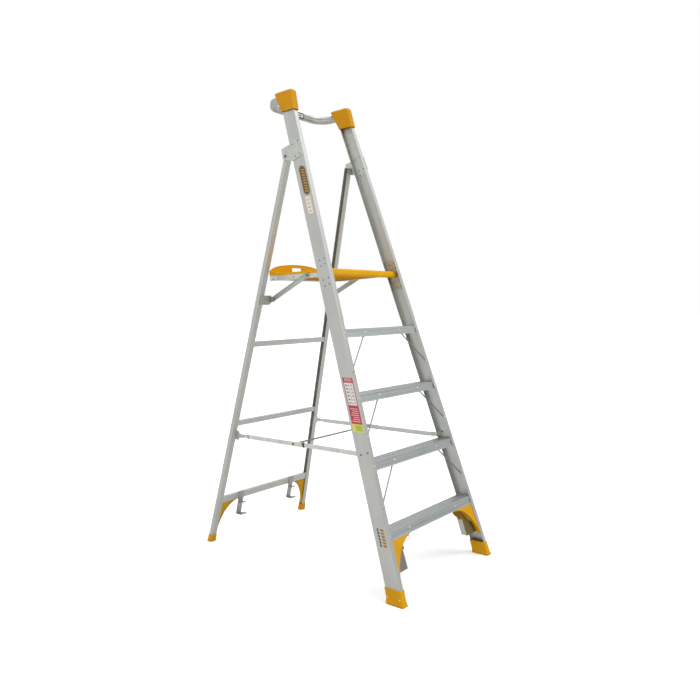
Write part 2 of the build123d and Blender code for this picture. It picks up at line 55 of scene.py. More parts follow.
# ------------------------------------------------------------------ datums, as in the CAD
FY0, KF, WX0, KW = -685.9, .3213, 393.5, .0674
ST_D, ST_F, T_W, T_F, ST_TOP = 81.9, 25.0, 2.8, 3.0, 2400.0
RY0, KR, RX0, KX = 685.9, .2708, 381.6, .0625
RS_D, RS_F, T_R, RS_TOP = 27.7, 30.6, 2.4, 2104.0
TREADS = (305.0, 605.0, 905.0, 1205.0)
TREAD_DEPTH, TREAD_SKIRT, TREAD_REAR = 68.0, 39.0, 22.0
DECK_Z, DECK_HALF, DECK_T, DECK_REAR = 1501.0, 205.0, 13.0, 303.0
HINGE, PIV_A, PIV_B, PIV_C = (108.5, 2083.0), (-176.0, 1482.0), (21.0, 1479.0), (277.0, 1361.0)
SP_F, SP_M, SP_R = (-385.0, 622.0), (50.0, 621.0), (438.0, 619.0)


def Fy(z): return FY0 + KF * z
def Wx(z): return WX0 - KW * z
def Ry(z): return RY0 - KR * z
def Rx(z): return RX0 - KX * z


N_WEB, N_IWEB, N_FRONT, N_REAR_WEB = (1, 0, KW), (-1, 0, -KW), (0, -1, KF), (1, 0, KX)
D_STILE = (-KW, KF, 1)
D_REAR = (-KX, -KR, 1)


# ------------------------------------------------------------------ materials
class Mat:
    """A short way to write one material's node tree."""
    def __init__(self, name):
        self.m = bpy.data.materials.new(name)
        self.m.use_nodes = True
        self.nt = self.m.node_tree
        self.p = next(n for n in self.nt.nodes if n.type == "BSDF_PRINCIPLED")

    def add(self, kind, **kw):
        n = self.nt.nodes.new(kind)
        for k, v in kw.items():
            setattr(n, k, v)
        return n

    def link(self, a, b):
        self.nt.links.new(a, b)

    def grain(self, scale):
        at = self.add("ShaderNodeAttribute", attribute_name="grain")
        mp = self.add("ShaderNodeMapping")
        mp.inputs["Scale"].default_value = scale
        self.link(at.outputs["Vector"], mp.inputs["Vector"])
        return mp.outputs["Vector"]

    def noise(self, scale, detail=3, rough=.55, size=1.0):
        n = self.add("ShaderNodeTexNoise")
        n.inputs["Scale"].default_value = size
        n.inputs["Detail"].default_value = detail
        n.inputs["Roughness"].default_value = rough
        self.link(self.grain(scale), n.inputs["Vector"])
        return n.outputs["Fac"]

    def ramp(self, fac, stops):
        r = self.add("ShaderNodeValToRGB")
        e = r.color_ramp.elements
        while len(e) < len(stops):
            e.new(0.5)
        for i, (pos, col) in enumerate(stops):
            e[i].position = pos
            e[i].color = (*col, 1) if len(col) == 3 else (col[0], col[0], col[0], 1)
        self.link(fac, r.inputs["Fac"])
        return r.outputs["Color"]

    def mix(self, fac, a, b, mode="MIX"):
        n = self.add("ShaderNodeMix", data_type="RGBA", blend_type=mode)
        ins = [i for i in n.inputs if i.enabled]
        f, ia, ib = ins[0], ins[1], ins[2]
        for sock, val in ((f, fac), (ia, a), (ib, b)):
            if isinstance(val, (int, float)):
                sock.default_value = val
            elif isinstance(val, tuple):
                sock.default_value = (*val, 1)
            else:
                self.link(val, sock)
        return next(o for o in n.outputs if o.enabled)

    def span(self, fac, lo, hi, a=0.0, b=1.0):
        n = self.add("ShaderNodeMapRange")
        n.inputs["From Min"].default_value = a
        n.inputs["From Max"].default_value = b
        n.inputs["To Min"].default_value = lo
        n.inputs["To Max"].default_value = hi
        self.link(fac, n.inputs["Value"])
        return n.outputs["Result"]

    def bump(self, height, strength, dist):
        n = self.add("ShaderNodeBump")
        n.inputs["Strength"].default_value = strength
        n.inputs["Distance"].default_value = dist
        self.link(height, n.inputs["Height"])
        self.link(n.outputs["Normal"], self.p.inputs["Normal"])

    def flat(self, **kw):
        for k, v in kw.items():
            self.p.inputs[k].default_value = v


def scaled(c, k):
    return tuple(min(1.0, x * k) for x in c)


def extruded(name, base, rough=.40, streak=.10, metallic=1.0, lines=(2.2, 210, 210), fine=(7, 900, 900)):
    """Mill-finished extrusion: faint die lines along the length, slow dull patches, a few handling marks."""
    m = Mat(name)
    a = m.noise(lines, 3, .6)
    b = m.noise(fine, 2, .6)
    c = m.noise((5, 9, 9), 3, .55)
    d = m.noise((45, 160, 160), 4, .7)
    col = m.ramp(a, [(.25, scaled(base, 1 - streak)), (.52, base), (.78, scaled(base, 1 + streak * .6))])
    col = m.mix(m.span(c, .0, .55, .42, .75), col, scaled(base, .88))
    col = m.mix(m.span(d, .0, .35, .66, .80), col, scaled(base, .66))
    m.link(col, m.p.inputs["Base Color"])
    r1 = m.span(a, rough - .07, rough + .09, .3, .7)
    add = m.add("ShaderNodeMath", operation="ADD")
    m.link(r1, add.inputs[0])
    m.link(m.span(c, -.04, .10, .3, .75), add.inputs[1])
    m.link(add.outputs[0], m.p.inputs["Roughness"])
    m.flat(Metallic=metallic)
    m.bump(b, .22, .00012)
    return m.m


def plated(name, base, rough=.42, spangle=60, metallic=1.0):
    """Zinc plate: soft cloudy tone with small crystalline patches."""
    m = Mat(name)
    v = m.add("ShaderNodeTexVoronoi")
    v.inputs["Scale"].default_value = 1
    m.link(m.grain((spangle, spangle, spangle)), v.inputs["Vector"])
    c = m.noise((22, 22, 22), 4, .6)
    tone = m.mix(m.span(v.outputs["Color"], 0, .35), base, scaled(base, .86))
    col = m.mix(m.span(c, 0, .6, .40, .72), tone, scaled(base, .80))
    m.link(col, m.p.inputs["Base Color"])
    m.link(m.span(c, rough - .06, rough + .12, .3, .75), m.p.inputs["Roughness"])
    m.flat(Metallic=metallic)
    m.bump(m.noise((420, 420, 420), 2, .5), .15, .0001)
    return m.m


def moulded(name, base, rough=.42, grain=1500, dirt=.0, coat=0.0, spec=.42):
    """Moulded plastic: fine spark-eroded grain, slight tone drift, scuffs on handled faces."""
    m = Mat(name)
    a = m.noise((14, 14, 14), 3, .5)
    s = m.noise((60, 330, 330), 3, .6)
    col = m.mix(m.span(a, 0, .7, .35, .72), base, scaled(base, .88))
    col = m.mix(m.span(s, 0, .22 + dirt, .64, .80), col, scaled(base, .62))
    m.link(col, m.p.inputs["Base Color"])
    m.link(m.span(a, rough - .05, rough + .10, .3, .7), m.p.inputs["Roughness"])
    m.flat(**{"Coat Weight": coat, "Specular IOR Level": spec})
    m.bump(m.noise((grain, grain, grain), 2, .5), .10, .00015)
    return m.m


def film(name, base, rough=.30):
    m = Mat(name)
    a = m.noise((30, 30, 30), 3, .5)
    s = m.noise((150, 900, 900), 2, .6)
    col = m.mix(m.span(a, 0, .5, .35, .75), base, scaled(base, .90))
    col = m.mix(m.span(s, 0, .25, .66, .82), col, tuple(.5 * x + .25 for x in base))
    m.link(col, m.p.inputs["Base Color"])
    m.link(m.span(a, rough - .05, rough + .12, .3, .7), m.p.inputs["Roughness"])
    m.flat(**{"Specular IOR Level": .5})
    m.bump(a, .05, .0001)
    return m.m


ALU = (.545, .550, .520)
M_STILE = extruded("extruded_aluminium", ALU, .42, .10)
M_STEP = extruded("tread_aluminium", (.500, .528, .520), .31, .14, lines=(1.6, 260, 260))
M_RAIL = extruded("bent_tube_aluminium", (.47, .475, .46), .46, .10, lines=(4, 160, 160))
M_ZINC = plated("zinc_plate", (.58, .605, .56), .50, metallic=.85)
M_BAR = plated("zinc_bar", (.66, .70, .645), .50, 40, metallic=.80)
M_HOOK = plated("zinc_hook", (.46, .46, .44), .46, 60)
M_TAN = plated("passivated_plate", (.52, .47, .34), .48, 70)
M_STRUTB = plated("zinc_strut_bracket", (.42, .44, .38), .50, 60, metallic=.85)
# amber plate: painted reflection of the yellow moulding, with painted shade, for the right latch plate's front wall
M_PAINTED_REFLECTION_PLATE = plated("painted_reflection_amber_plate", (.150, .105, .026), .50, 60, metallic=.30)
# dark grey plate: painted shade for the left latch plate's front wall
M_PAINTED_SHADE_PLATE = plated("painted_shade_grey_plate", (.200, .185, .185), .52, 60, metallic=.35)
M_REAR = extruded("rear_extruded_aluminium", (.535, .540, .510), .50, .11, metallic=.86)
# darker yellow-brown moulding: painted shade for the shadowed inner wall of the step gussets
M_PAINTED_SHADE_WALL = moulded("painted_shade_moulding", (.300, .150, .004), .50, spec=.12)
M_STRUT = plated("zinc_strut", (.50, .53, .485), .50, 40, metallic=.80)
M_ROD = plated("rod_steel", (.25, .26, .245), .40, 120)
M_FAST = plated("fastener_steel", (.62, .62, .60), .26, 240)
M_DARK = plated("dark_rivet_steel", (.20, .19, .18), .45, 240)
M_CAP = moulded("yellow_cap_moulding", (.600, .268, .001), .46, spec=.14)
M_YEL = moulded("yellow_moulding", (.590, .292, .001), .46, spec=.14)
M_DECK = moulded("yellow_deck_moulding", (.750, .372, .001), .46, spec=.14)
M_YEL2 = moulded("yellow_foot_moulding", (.600, .284, .001), .50, 1100, .14, spec=.14)
M_BLACK = moulded("black_moulding", (.018, .018, .018), .5)
F_BLACK = film("film_dark", (.030, .022, .016))
F_GOLD = film("film_gold", (.42, .235, .045))
F_BROWN = film("film_brown", (.095, .050, .020))
F_TAN = film("film_tan", (.60, .44, .27))
F_RED = film("film_red", (.47, .040, .060))
F_PALE = film("film_pale", (.72, .71, .68))
F_GREY = film("film_grey", (.25, .26, .27))
F_GREEN = film("film_green", (.36, .47, .06))
F_YELLOW = film("film_yellow", (.72, .60, .05))


# ------------------------------------------------------------------ mesh building
def axes_for(d):
    d = Vector(d).normalized()
    h = Vector((0, 0, 1)) if abs(d.z) < .8 else Vector((1, 0, 0))
    a = d.cross(h).normalized()
    return d, a, d.cross(a)


class Part:
    """One piece: closed shells in millimetres, with a grain direction at every point."""
    count = 0

    def __init__(self):
        self.v, self.f, self.m, self.g, self.sharp = [], [], [], [], []

    def take(self, bm, d=(0, 0, 1), mat=0, sharp=38):
        bmesh.ops.recalc_face_normals(bm, faces=bm.faces)
        d, a, b = axes_for(d)
        Part.count += 1
        k = Part.count
        off = Vector((math.sin(k * 12.9898) * 3.1, math.sin(k * 78.233) * 2.7, math.sin(k * 37.719) * 2.3))
        base = len(self.v)
        bm.verts.index_update()
        for v in bm.verts:
            p = v.co * S
            self.v.append(p)
            self.g.append(Vector((p.dot(d), p.dot(a), p.dot(b))) + off)
        for f in bm.faces:
            self.f.append([base + v.index for v in f.verts])
            self.m.append(mat)
        for e in bm.edges:
            if len(e.link_faces) != 2 or e.calc_face_angle(0) > rad(sharp):
                self.sharp.append((base + e.verts[0].index, base + e.verts[1].index))
        bm.free()
        return self

    def mirror(self):
        o = Part()
        o.v = [Vector((-p.x, p.y, p.z)) for p in self.v]
        o.g = [p + Vector((1.7, 3.3, 5.1)) for p in self.g]
        o.f = [f[::-1] for f in self.f]
        o.m = list(self.m)
        o.sharp = list(self.sharp)
        return o

    def join(self, o):
        k = len(self.v)
        self.v += o.v
        self.g += o.g
        self.f += [[i + k for i in f] for f in o.f]
        self.m += o.m
        self.sharp += [(a + k, b + k) for a, b in o.sharp]
        return self

    def both(self):
        return self.join(self.mirror())

    def make(self, name, body, slot, mats, *nodes):
        me = bpy.data.meshes.new(name)
        me.from_pydata(self.v, [], self.f)
        me.polygons.foreach_set("material_index", self.m)
        me.polygons.foreach_set("use_smooth", [True] * len(me.polygons))
        at = me.attributes.new("grain", "FLOAT_VECTOR", "POINT")
        at.data.foreach_set("vector", [c for p in self.g for c in p])
        want = {tuple(sorted(e)) for e in self.sharp}
        me.update(calc_edges=True)
        se = me.attributes.new("sharp_edge", "BOOLEAN", "EDGE")
        se.data.foreach_set("value", [tuple(sorted(e.vertices)) in want for e in me.edges])
        for m in mats:
            me.materials.append(m)
        o = bpy.data.objects.new(name, me)
        bpy.context.scene.collection.objects.link(o)
        w = o.modifiers.new("normals", "WEIGHTED_NORMAL")
        w.keep_sharp = True
        w.weight = 80
        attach(o, body)
        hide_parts(*nodes)
        return o


def bevel(bm, w, seg=2, ang=25, pick=None):
    es = [e for e in bm.edges if len(e.link_faces) == 2 and e.calc_face_angle(0) > rad(ang) and (pick is None or pick(e))]
    if es and w > 0:
        bmesh.ops.bevel(bm, geom=es, offset=w, offset_type="OFFSET", segments=seg, profile=.5, affect="EDGES", clamp_overlap=True)
    return bm


def loft(rings, w=.0, seg=2, ang=25, pick=None):
    """A closed shell through rings of equal point count, with flat ends."""
    bm = bmesh.new()
    rs = [[bm.verts.new(Vector(p)) for p in r] for r in rings]
    n = len(rs[0])
    bm.faces.new(rs[0])
    bm.faces.new(rs[-1][::-1])
    for a, b in zip(rs, rs[1:]):
        for i in range(n):
            bm.faces.new([a[(i + 1) % n], a[i], b[i], b[(i + 1) % n]])
    bmesh.ops.recalc_face_normals(bm, faces=bm.faces)
    return bevel(bm, w, seg, ang, pick)


def prism(P, vec, w=.5, seg=2, **kw):
    vec = Vector(vec)
    return loft([P, [Vector(p) + vec for p in P]], w, seg, **kw)


def box(x0, x1, y0, y1, z0, z1, w=.5, seg=2, **kw):
    return prism([(x0, y0, z0), (x1, y0, z0), (x1, y1, z0), (x0, y1, z0)], (0, 0, z1 - z0), w, seg, **kw)


def slab_x(pts, x0, x1, **kw): return prism([(x0, y, z) for y, z in pts], (x1 - x0, 0, 0), **kw)
def slab_y(pts, y0, y1, **kw): return prism([(x, y0, z) for x, z in pts], (0, y1 - y0, 0), **kw)
def slab_z(pts, z0, z1, **kw): return prism([(x, y, z0) for x, y in pts], (0, 0, z1 - z0), **kw)
def web(pts, o0, o1, **kw): return prism([(Wx(z) + o0, y, z) for y, z in pts], (o1 - o0, 0, 0), **kw)
def front(pts, o0, o1, **kw): return prism([(x, Fy(z) + o0, z) for x, z in pts], (0, o1 - o0, 0), **kw)
def rear(pts, o0, o1, **kw): return prism([(x, Ry(z) + o0, z) for x, z in pts], (0, o1 - o0, 0), **kw)


def rounded(pts, radii, n=5):
    """A closed 2-D outline with its corners rounded."""
    out, N = [], len(pts)
    for i, p in enumerate(pts):
        r = radii[i] if isinstance(radii, (list, tuple)) else radii
        a, p, b = Vector(pts[i - 1]), Vector(p), Vector(pts[(i + 1) % N])
        if r <= 0:
            out.append(tuple(p))
            continue
        u, v = (a - p), (b - p)
        lu, lv = u.length, v.length
        u, v = u / lu, v / lv
        t = math.acos(max(-1, min(1, u.dot(v))))
        if abs(math.pi - t) < .02:
            out.append(tuple(p))
            continue
        L = min(r / math.tan(t / 2), lu * .48, lv * .48)
        rr = L * math.tan(t / 2)
        c = p + (u + v).normalized() * (rr / math.sin(t / 2))
        s, e = p + u * L, p + v * L
        a0 = math.atan2(s.y - c.y, s.x - c.x)
        a1 = math.atan2(e.y - c.y, e.x - c.x)
        d = (a1 - a0 + math.pi) % (2 * math.pi) - math.pi
        for k in range(n + 1):
            q = a0 + d * k / n
            out.append((c.x + rr * math.cos(q), c.y + rr * math.sin(q)))
    return out


def lathe(prof, origin, axis, n=24):
    """Revolve (radius, height) pairs; the ends close at radius 0."""
    d, a, b = axes_for(axis)
    o = Vector(origin)
    bm = bmesh.new()
    rings = []
    for r, h in prof:
        if r < 1e-6:
            rings.append([bm.verts.new(o + d * h)])
        else:
            rings.append([bm.verts.new(o + d * h + (a * math.cos(2 * math.pi * k / n) + b * math.sin(2 * math.pi * k / n)) * r) for k in range(n)])
    for p, q in zip(rings, rings[1:]):
        for k in range(n):
            k2 = (k + 1) % n
            if len(p) == 1:
                bm.faces.new([p[0], q[k], q[k2]])
            elif len(q) == 1:
                bm.faces.new([p[k2], p[k], q[0]])
            else:
                bm.faces.new([p[k2], p[k], q[k], q[k2]])
    if len(rings[0]) > 1:
        bm.faces.new(rings[0])
    if len(rings[-1]) > 1:
        bm.faces.new(rings[-1][::-1])
    return bm


def rivet(p, d, r=4.6, h=2.2, n=20):
    """A set rivet: thin rim, domed head with a slightly flattened crown."""
    prof = [(0, -.3), (r * .98, -.3), (r, .05), (r * .985, h * .18), (r * .90, h * .48), (r * .72, h * .76), (r * .46, h * .94), (r * .20, h), (0, h)]
    return lathe(prof, p, d, n)


def blind(p, d, r=3.8, h=1.8, n=20):
    """A blind rivet: domed flange with the broken mandrel sunk in its middle."""
    prof = [(0, -.3), (r * .98, -.3), (r, .05), (r * .97, h * .22), (r * .84, h * .62), (r * .62, h * .92), (r * .47, h), (r * .36, h * .93),
            (r * .33, h * .45), (r * .30, h * .42), (r * .27, h * .62), (r * .12, h * .70), (0, h * .70)]
    return lathe(prof, p, d, n)


def bolt_head(p, d, r, h, n=6):
    """A hexagon head on a washer."""
    return [lathe([(0, -.2), (r * 1.28, -.2), (r * 1.30, .1), (r * 1.30, h * .22), (r * 1.24, h * .30), (0, h * .30)], p, d, 28),
            lathe([(0, h * .28), (r * .96, h * .28), (r, h * .34), (r, h * .88), (r * .90, h), (0, h)], p, d, n)]


def sweep(path, sec, closed=False, up=(0, 0, 1)):
    """Sweep a closed section (u sideways, v up) along a path of points."""
    P = [Vector(p) for p in path]
    rings = []
    for i, p in enumerate(P):
        t = (P[min(i + 1, len(P) - 1)] - P[max(i - 1, 0)]).normalized()
        u = t.cross(Vector(up)).normalized()
        v = u.cross(t)
        k = 1.0
        if 0 < i < len(P) - 1:
            c = (P[i + 1] - p).normalized().dot((p - P[i - 1]).normalized())
            k = 1 / max(.5, math.sqrt((1 + c) / 2))
        rings.append([p + u * (a * k) + v * b for a, b in sec])
    return loft(rings)


def circle(r, n=16):
    return [(r * math.cos(2 * math.pi * k / n), r * math.sin(2 * math.pi * k / n)) for k in range(n)]


def arc3(p0, c, p1, n=6):
    p0, c, p1 = Vector(p0), Vector(c), Vector(p1)
    return [(p0 * (1 - t) ** 2 + c * 2 * t * (1 - t) + p1 * t * t) for t in [k / n for k in range(n + 1)]]


def curve(p0, c, p1, n=9):
    return [((1 - t) ** 2 * p0[0] + 2 * t * (1 - t) * c[0] + t * t * p1[0],
             (1 - t) ** 2 * p0[1] + 2 * t * (1 - t) * c[1] + t * t * p1[1]) for t in [i / (n - 1) for i in range(n)]]


def bar_outline(p, q, w, tail=0.0, n=11):
    L = math.hypot(q[0] - p[0], q[1] - p[1])
    ux, uz = (q[0] - p[0]) / L, (q[1] - p[1]) / L
    r, e, pts = w / 2, L + tail, []
    for i in range(n):
        a = math.pi / 2 + math.pi * i / (n - 1)
        pts.append((r * math.cos(a), r * math.sin(a)))
    for i in range(n):
        a = -math.pi / 2 + math.pi * i / (n - 1)
        pts.append((e + r * math.cos(a), r * math.sin(a)))
    return [(p[0] + s * ux - t * uz, p[1] + s * uz + t * ux) for s, t in pts]


def along(p, q, st):
    L = math.hypot(q[0] - p[0], q[1] - p[1])
    ux, uz = (q[0] - p[0]) / L, (q[1] - p[1]) / L
    return [(p[0] + s * ux - t * uz, p[1] + s * uz + t * ux) for s, t in st]


def pair(part, name, body, slot, mats, node=None):
    """Right piece as built, left piece mirrored."""
    node = node or name
    left = part.mirror()
    part.make("v_" + name + "_right", body, slot, mats, node + "_right")
    left.make("v_" + name + "_left", body if body in frame["bodies"] else body, slot, mats, node + "_left")


FF, RF, PL = "front_frame", "rear_frame", "platform"
A_, T_, Z_, K_, Y_ = "stile_aluminium", "tread_aluminium", "zinc_steel", "fastener_steel", "yellow_plastic"

# ------------------------------------------------------------------ front stiles
def stile_profile(z, o=0.0):
    w, f = Wx(z), Fy(z)
    raw = [(w, f), (w, f + ST_D), (w - ST_F, f + ST_D), (w - ST_F, f + ST_D - T_F), (w - T_W, f + ST_D - T_F),
           (w - T_W, f + T_F), (w - ST_F, f + T_F), (w - ST_F, f)]
    pts = rounded(raw, [1.9, 1.9, 1.1, 1.1, 1.6, 1.6, 1.1, 1.1], 4)
    # two shallow die grooves along the outer web
    out = []
    for i, p in enumerate(pts):
        out.append(p)
        q = pts[(i + 1) % len(pts)]
        if abs(p[0] - w) < 1e-6 and abs(q[0] - w) < 1e-6 and q[1] - p[1] > 40:
            for g in (8.0, ST_D - 9.2):
                out += [(w, f + g), (w - .45, f + g + .35), (w - .45, f + g + .85), (w, f + g + 1.2)]
    return out


P = Part().take(loft([[(x, y, 6.0) for x, y in stile_profile(6.0)], [(x, y, ST_TOP) for x, y in stile_profile(ST_TOP)]]), D_STILE, sharp=32)
pair(P, "front_stile", FF, A_, [M_STILE])

# ------------------------------------------------------------------ steps
for i, zt in enumerate(TREADS):
    zb, f0 = zt - TREAD_SKIRT, Fy(zt) + T_F + .1
    yr = Fy(zt) + TREAD_DEPTH
    pts, rr = [(f0, zt)], [1.6]
    y = f0 + 5.5
    while y + 8.5 < yr - 4.0:
        pts += [(y, zt), (y + .8, zt - 2.8), (y + 7.2, zt - 2.8), (y + 8.0, zt)]
        rr += [.6, .5, .5, .6]
        y += 15.0
    pts += [(yr, zt), (yr, zt - TREAD_REAR), (yr - 2.4, zt - TREAD_REAR), (yr - 2.4, zt - 5.2),
            (Fy(zt - 5.2) + T_F + 3.3, zt - 5.2), (Fy(zb) + T_F + 3.3, zb), (Fy(zb) + T_F + .1, zb),
            (Fy(zb + 3) + T_F + .1, zb + 3), (Fy(zb + 5) + T_F + 1.0, zb + 5),
            (Fy(zt - 16.5) + T_F + 1.7, zt - 16.5), (Fy(zt - 14.0) + T_F + .1, zt - 14.0)]
    rr += [1.5, .8, .8, .9, .9, .7, .9, .5, .6, .6, .5]
    prof = rounded(pts, rr, 3)
    X = lambda z: Wx(z) - T_W - .1
    bm = loft([[(-X(z), y, z) for y, z in prof], [(X(z), y, z) for y, z in prof]])
    Part().take(bm, (1, 0, 0), sharp=32).make(f"v_step_{i + 1}", FF, T_, [M_STEP], f"step_{i + 1}")

# ------------------------------------------------------------------ brace rods, bolts, rivets
ro, bo = Part(), Part()
for k, zt in enumerate(TREADS):
    zr = zt - 18.3
    xb = Wx(zr) - 172.0
    bo.take(rivet((xb, Fy(zr) + T_F + 1.7, zr), N_FRONT, 6.0, 3.4), sharp=50)
    if k == 0:
        continue
    z2 = zr - 173.3
    xf = Wx(z2) - 13.5
    a, b = Vector((xb, Fy(zr) + 10.4, zr - 2)), Vector((xf, Fy(z2) + T_F + 3.9, z2))
    t = (b - a).normalized()
    ro.take(sweep([a, a + t * 4, a + (b - a) * .5, b - t * 4, b], circle(3.45, 16)), t, sharp=60)
    ro.take(lathe([(0, 0), (5.6, 0), (6.2, .6), (6.2, 6.2), (5.6, 6.8), (0, 6.8)], a + t * 21, t, 6), t, 1)      # nut below the tread
    ro.take(lathe([(0, 0), (5.0, 0), (5.6, .5), (5.6, 4.6), (5.0, 5.1), (0, 5.1)], b - t * 12, t, 6), t, 1)      # nut at the stile
    for q in bolt_head((xf, Fy(z2) + .1, z2), N_FRONT, 5.4, 4.0):
        bo.take(q, N_FRONT)
ro.both().make("v_brace_rods", FF, Z_, [M_ROD, M_FAST], "brace_rods")
bo.both().make("v_brace_bolts", FF, K_, [M_FAST], "brace_bolts")
P = Part()
for zt in TREADS:
    zr = zt - 18.3
    P.take(rivet((Wx(zr) - 12.0, Fy(zr), zr), N_FRONT, 4.6, 2.2), sharp=50)
    P.take(rivet((Wx(zr) - 12.0, Fy(zr) + ST_D, zr), (0, 1, -KF), 4.6, 2.2), sharp=50)
P.both().make("v_step_rivets", FF, K_, [M_FAST], "step_rivets")

# ------------------------------------------------------------------ moulded corner gussets and latch plates
zt, zb = TREADS[0], TREADS[0] - TREAD_SKIRT
wi = lambda z: Wx(z) - T_W - .2
crv = curve((204.0, zb - .2), (318.0, 244.0), (wi(112) - 24, 112.0), 19)
c2 = curve((210.0, zb - .2), (321.0, 249.0), (wi(112) - 20, 112.0), 19)
P = Part().take(front(crv + [(wi(112), 112.0), (wi(zb - .2), zb - .2)], T_F + .2, T_F + 4.2, w=1.0), (1, 0, -1))
P.take(front(crv + c2[::-1], T_F + .4, 22.0, w=.8), (1, 0, -1))
c3 = curve((196.0, 262.0), (290.0, 232.0), (335.0, 150.0), 19)
c4 = curve((202.0, 265.5), (296.0, 238.0), (341.0, 153.0), 19)
tunnel = []
for k in range(9):                 # the upper part of the arch runs back under the tread and drops towards the rear
    t = k / 8
    a = [(p[0] * (1 - t) + q[0] * t, p[1] * (1 - t) + q[1] * t) for p, q in zip(crv[:13] + c2[:13][::-1], c3[:13] + c4[:13][::-1])]
    tunnel.append([(x, Fy(z) + 20.1 + 55.8 * t, z) for x, z in a])
P.take(loft(tunnel), (1, 0, -1), sharp=34)
# inner wall hanging from the arch, its lower edge stepped up towards the rear; its darker yellow-brown material is
# painted shade for the shadow under the tread
P.take(slab_x([(Fy(206) + 20.6, 206), (Fy(198) + 45.6, 198), (Fy(221) + 75.9, 221), (Fy(243.3) + 75.9, 243.3), (Fy(243.3) + 20.6, 243.3)], 262.4, 265.6, w=.6), (0, KF, 1), 2)
P.take(front([(wi(zb - 6) - 3.2, zb - .4), (wi(zb) - .2, zb - .4), (wi(116) - .2, 116), (wi(116) - 3.2, 116)], T_F + 1.0, 21.0, w=.8), (0, 0, 1))
P.take(front([(214, zb - .3), (wi(zb), zb - .3), (wi(zb - 4), zb - 3.6), (220, zb - 3.6)], T_F + 1.0, 21.0, w=.8), (1, 0, 0))
for t0, t1 in (((262, zb - 3), (284, 234)), ((306, zb - 3), (318, 210))):
    P.take(front([t0, (t0[0] + 2.2, t0[1]), (t1[0] + 2.2, t1[1]), t1], T_F + 2.0, 16.0, w=.4), (1, 0, -1))
for x, z in ((228, zb - 9), (wi(140) - 8, 142)):
    P.take(blind((x, Fy(z) + T_F + .3, z), N_FRONT, 3.6, 1.7), N_FRONT, 1, 50)
pair(P, "step_gusset", FF, Y_, [M_YEL, M_DARK, M_PAINTED_SHADE_WALL])
P = Part()
lp = [(266, 121), (Wx(121) - T_W - .15, 121), (Wx(180) - T_W - .15, 180), (312, 180), (298, 206), (283, 222.8), (266.1, 235.7)]
# front wall, material 2: on the right plate the amber painted reflection and shade of the yellow moulding
P.take(front(lp, 26.05, 28.9, w=.5), (0, KF, 1), 2)
P.take(front([(266, 121), (268.9, 121), (268.9, 227.4), (266, 227.4)], 28.0, 59.9, w=.5), (0, KF, 1))
P.take(front([(Wx(126) - T_W - 2.6, 126), (Wx(126) - T_W - .15, 126), (Wx(178) - T_W - .15, 178), (Wx(178) - T_W - 2.6, 178)], 28.0, 48.0, w=.5), (0, KF, 1))
for z in (140, 166):
    P.take(blind((Wx(z) - T_W - 2.5, Fy(z) + 39, z), N_IWEB, 3.6, 1.6), (0, 0, 1), 1, 50)
L_ = P.mirror()
# the left plate's front wall takes the dark grey painted shade in place of the amber painted reflection
L_.m = [3 if k == 2 else k for k in L_.m]
P.join(L_).make("v_latch_plates", FF, Z_, [M_ZINC, M_FAST, M_PAINTED_REFLECTION_PLATE, M_PAINTED_SHADE_PLATE], "latch_plates")


# ------------------------------------------------------------------ feet
def ring_xy(x0, x1, y0, y1, z, r=7.0, n=6):
    return [(x, y, z) for x, y in rounded([(x0, y0), (x1, y0), (x1, y1), (x0, y1)], r, n)]


def front_ring(z, inset=0.0, r=7.0):
    t = z / 67.0
    f = lambda a, b: a + (b - a) * t
    return ring_xy(f(Wx(0) - 31.5, Wx(67) - 29.5) + inset, f(Wx(0) + 9, Wx(67) + 3.4) - inset,
                   f(Fy(0) - 3.0, Fy(67) - 3.6) + inset, f(Fy(0) + ST_D + 11, Fy(67) + ST_D + 4.2) - inset, z, r)


P = Part()
rings = [front_ring(4.8, 2.0, 5), front_ring(4.8, 1.0, 5.5), front_ring(6.2, .1, 7.5), front_ring(12, 0, 7.5), front_ring(14.0, 1.2, 7),
         front_ring(16.0, 1.3, 7), front_ring(30, 1.2, 7), front_ring(45, 1.0, 6.5), front_ring(57, .9, 6), front_ring(59.2, 0, 5), front_ring(66, 0, 5),
         front_ring(67, .9, 4.5), front_ring(67, 2.6, 3.5), front_ring(66.4, 3.0, 3.2), front_ring(9, 3.6, 3.2)]
P.take(loft(rings), (0, 0, 1), sharp=34)
y = Fy(0) - 1.6
while y + 8.4 < Fy(0) + ST_D + 11:
    P.take(box(Wx(0) - 30.4, Wx(0) + 8.4, y, y + 7.6, 0, 5.5, 1.2), (1, 0, 0))
    y += 10.6
P.take(rivet((Wx(29) + 5.2, -598.5, 29.5), (1, 0, .12), 4.6, 2.6), (1, 0, 0), 1, 50)
P.take(rivet((Wx(30) + 5.1, -666.0, 30.0), (1, 0, .12), 4.6, 2.6), (1, 0, 0), 1, 50)
pair(P, "front_foot", FF, Y_, [M_YEL2, M_FAST])


def rear_ring(z, inset=0.0, r=4.5):
    t = z / 40.0
    f = lambda a, b: a + (b - a) * t
    return ring_xy(f(Rx(0) - 33.6, Rx(40) - 33.0) + inset, f(Rx(0) + 3.4, Rx(40) + 2.8) - inset,
                   f(Ry(0) - RS_D - 3.4, Ry(40) - RS_D - 2.8) + inset, f(Ry(0) + 3.0, Ry(40) + 2.8) - inset, z, r)


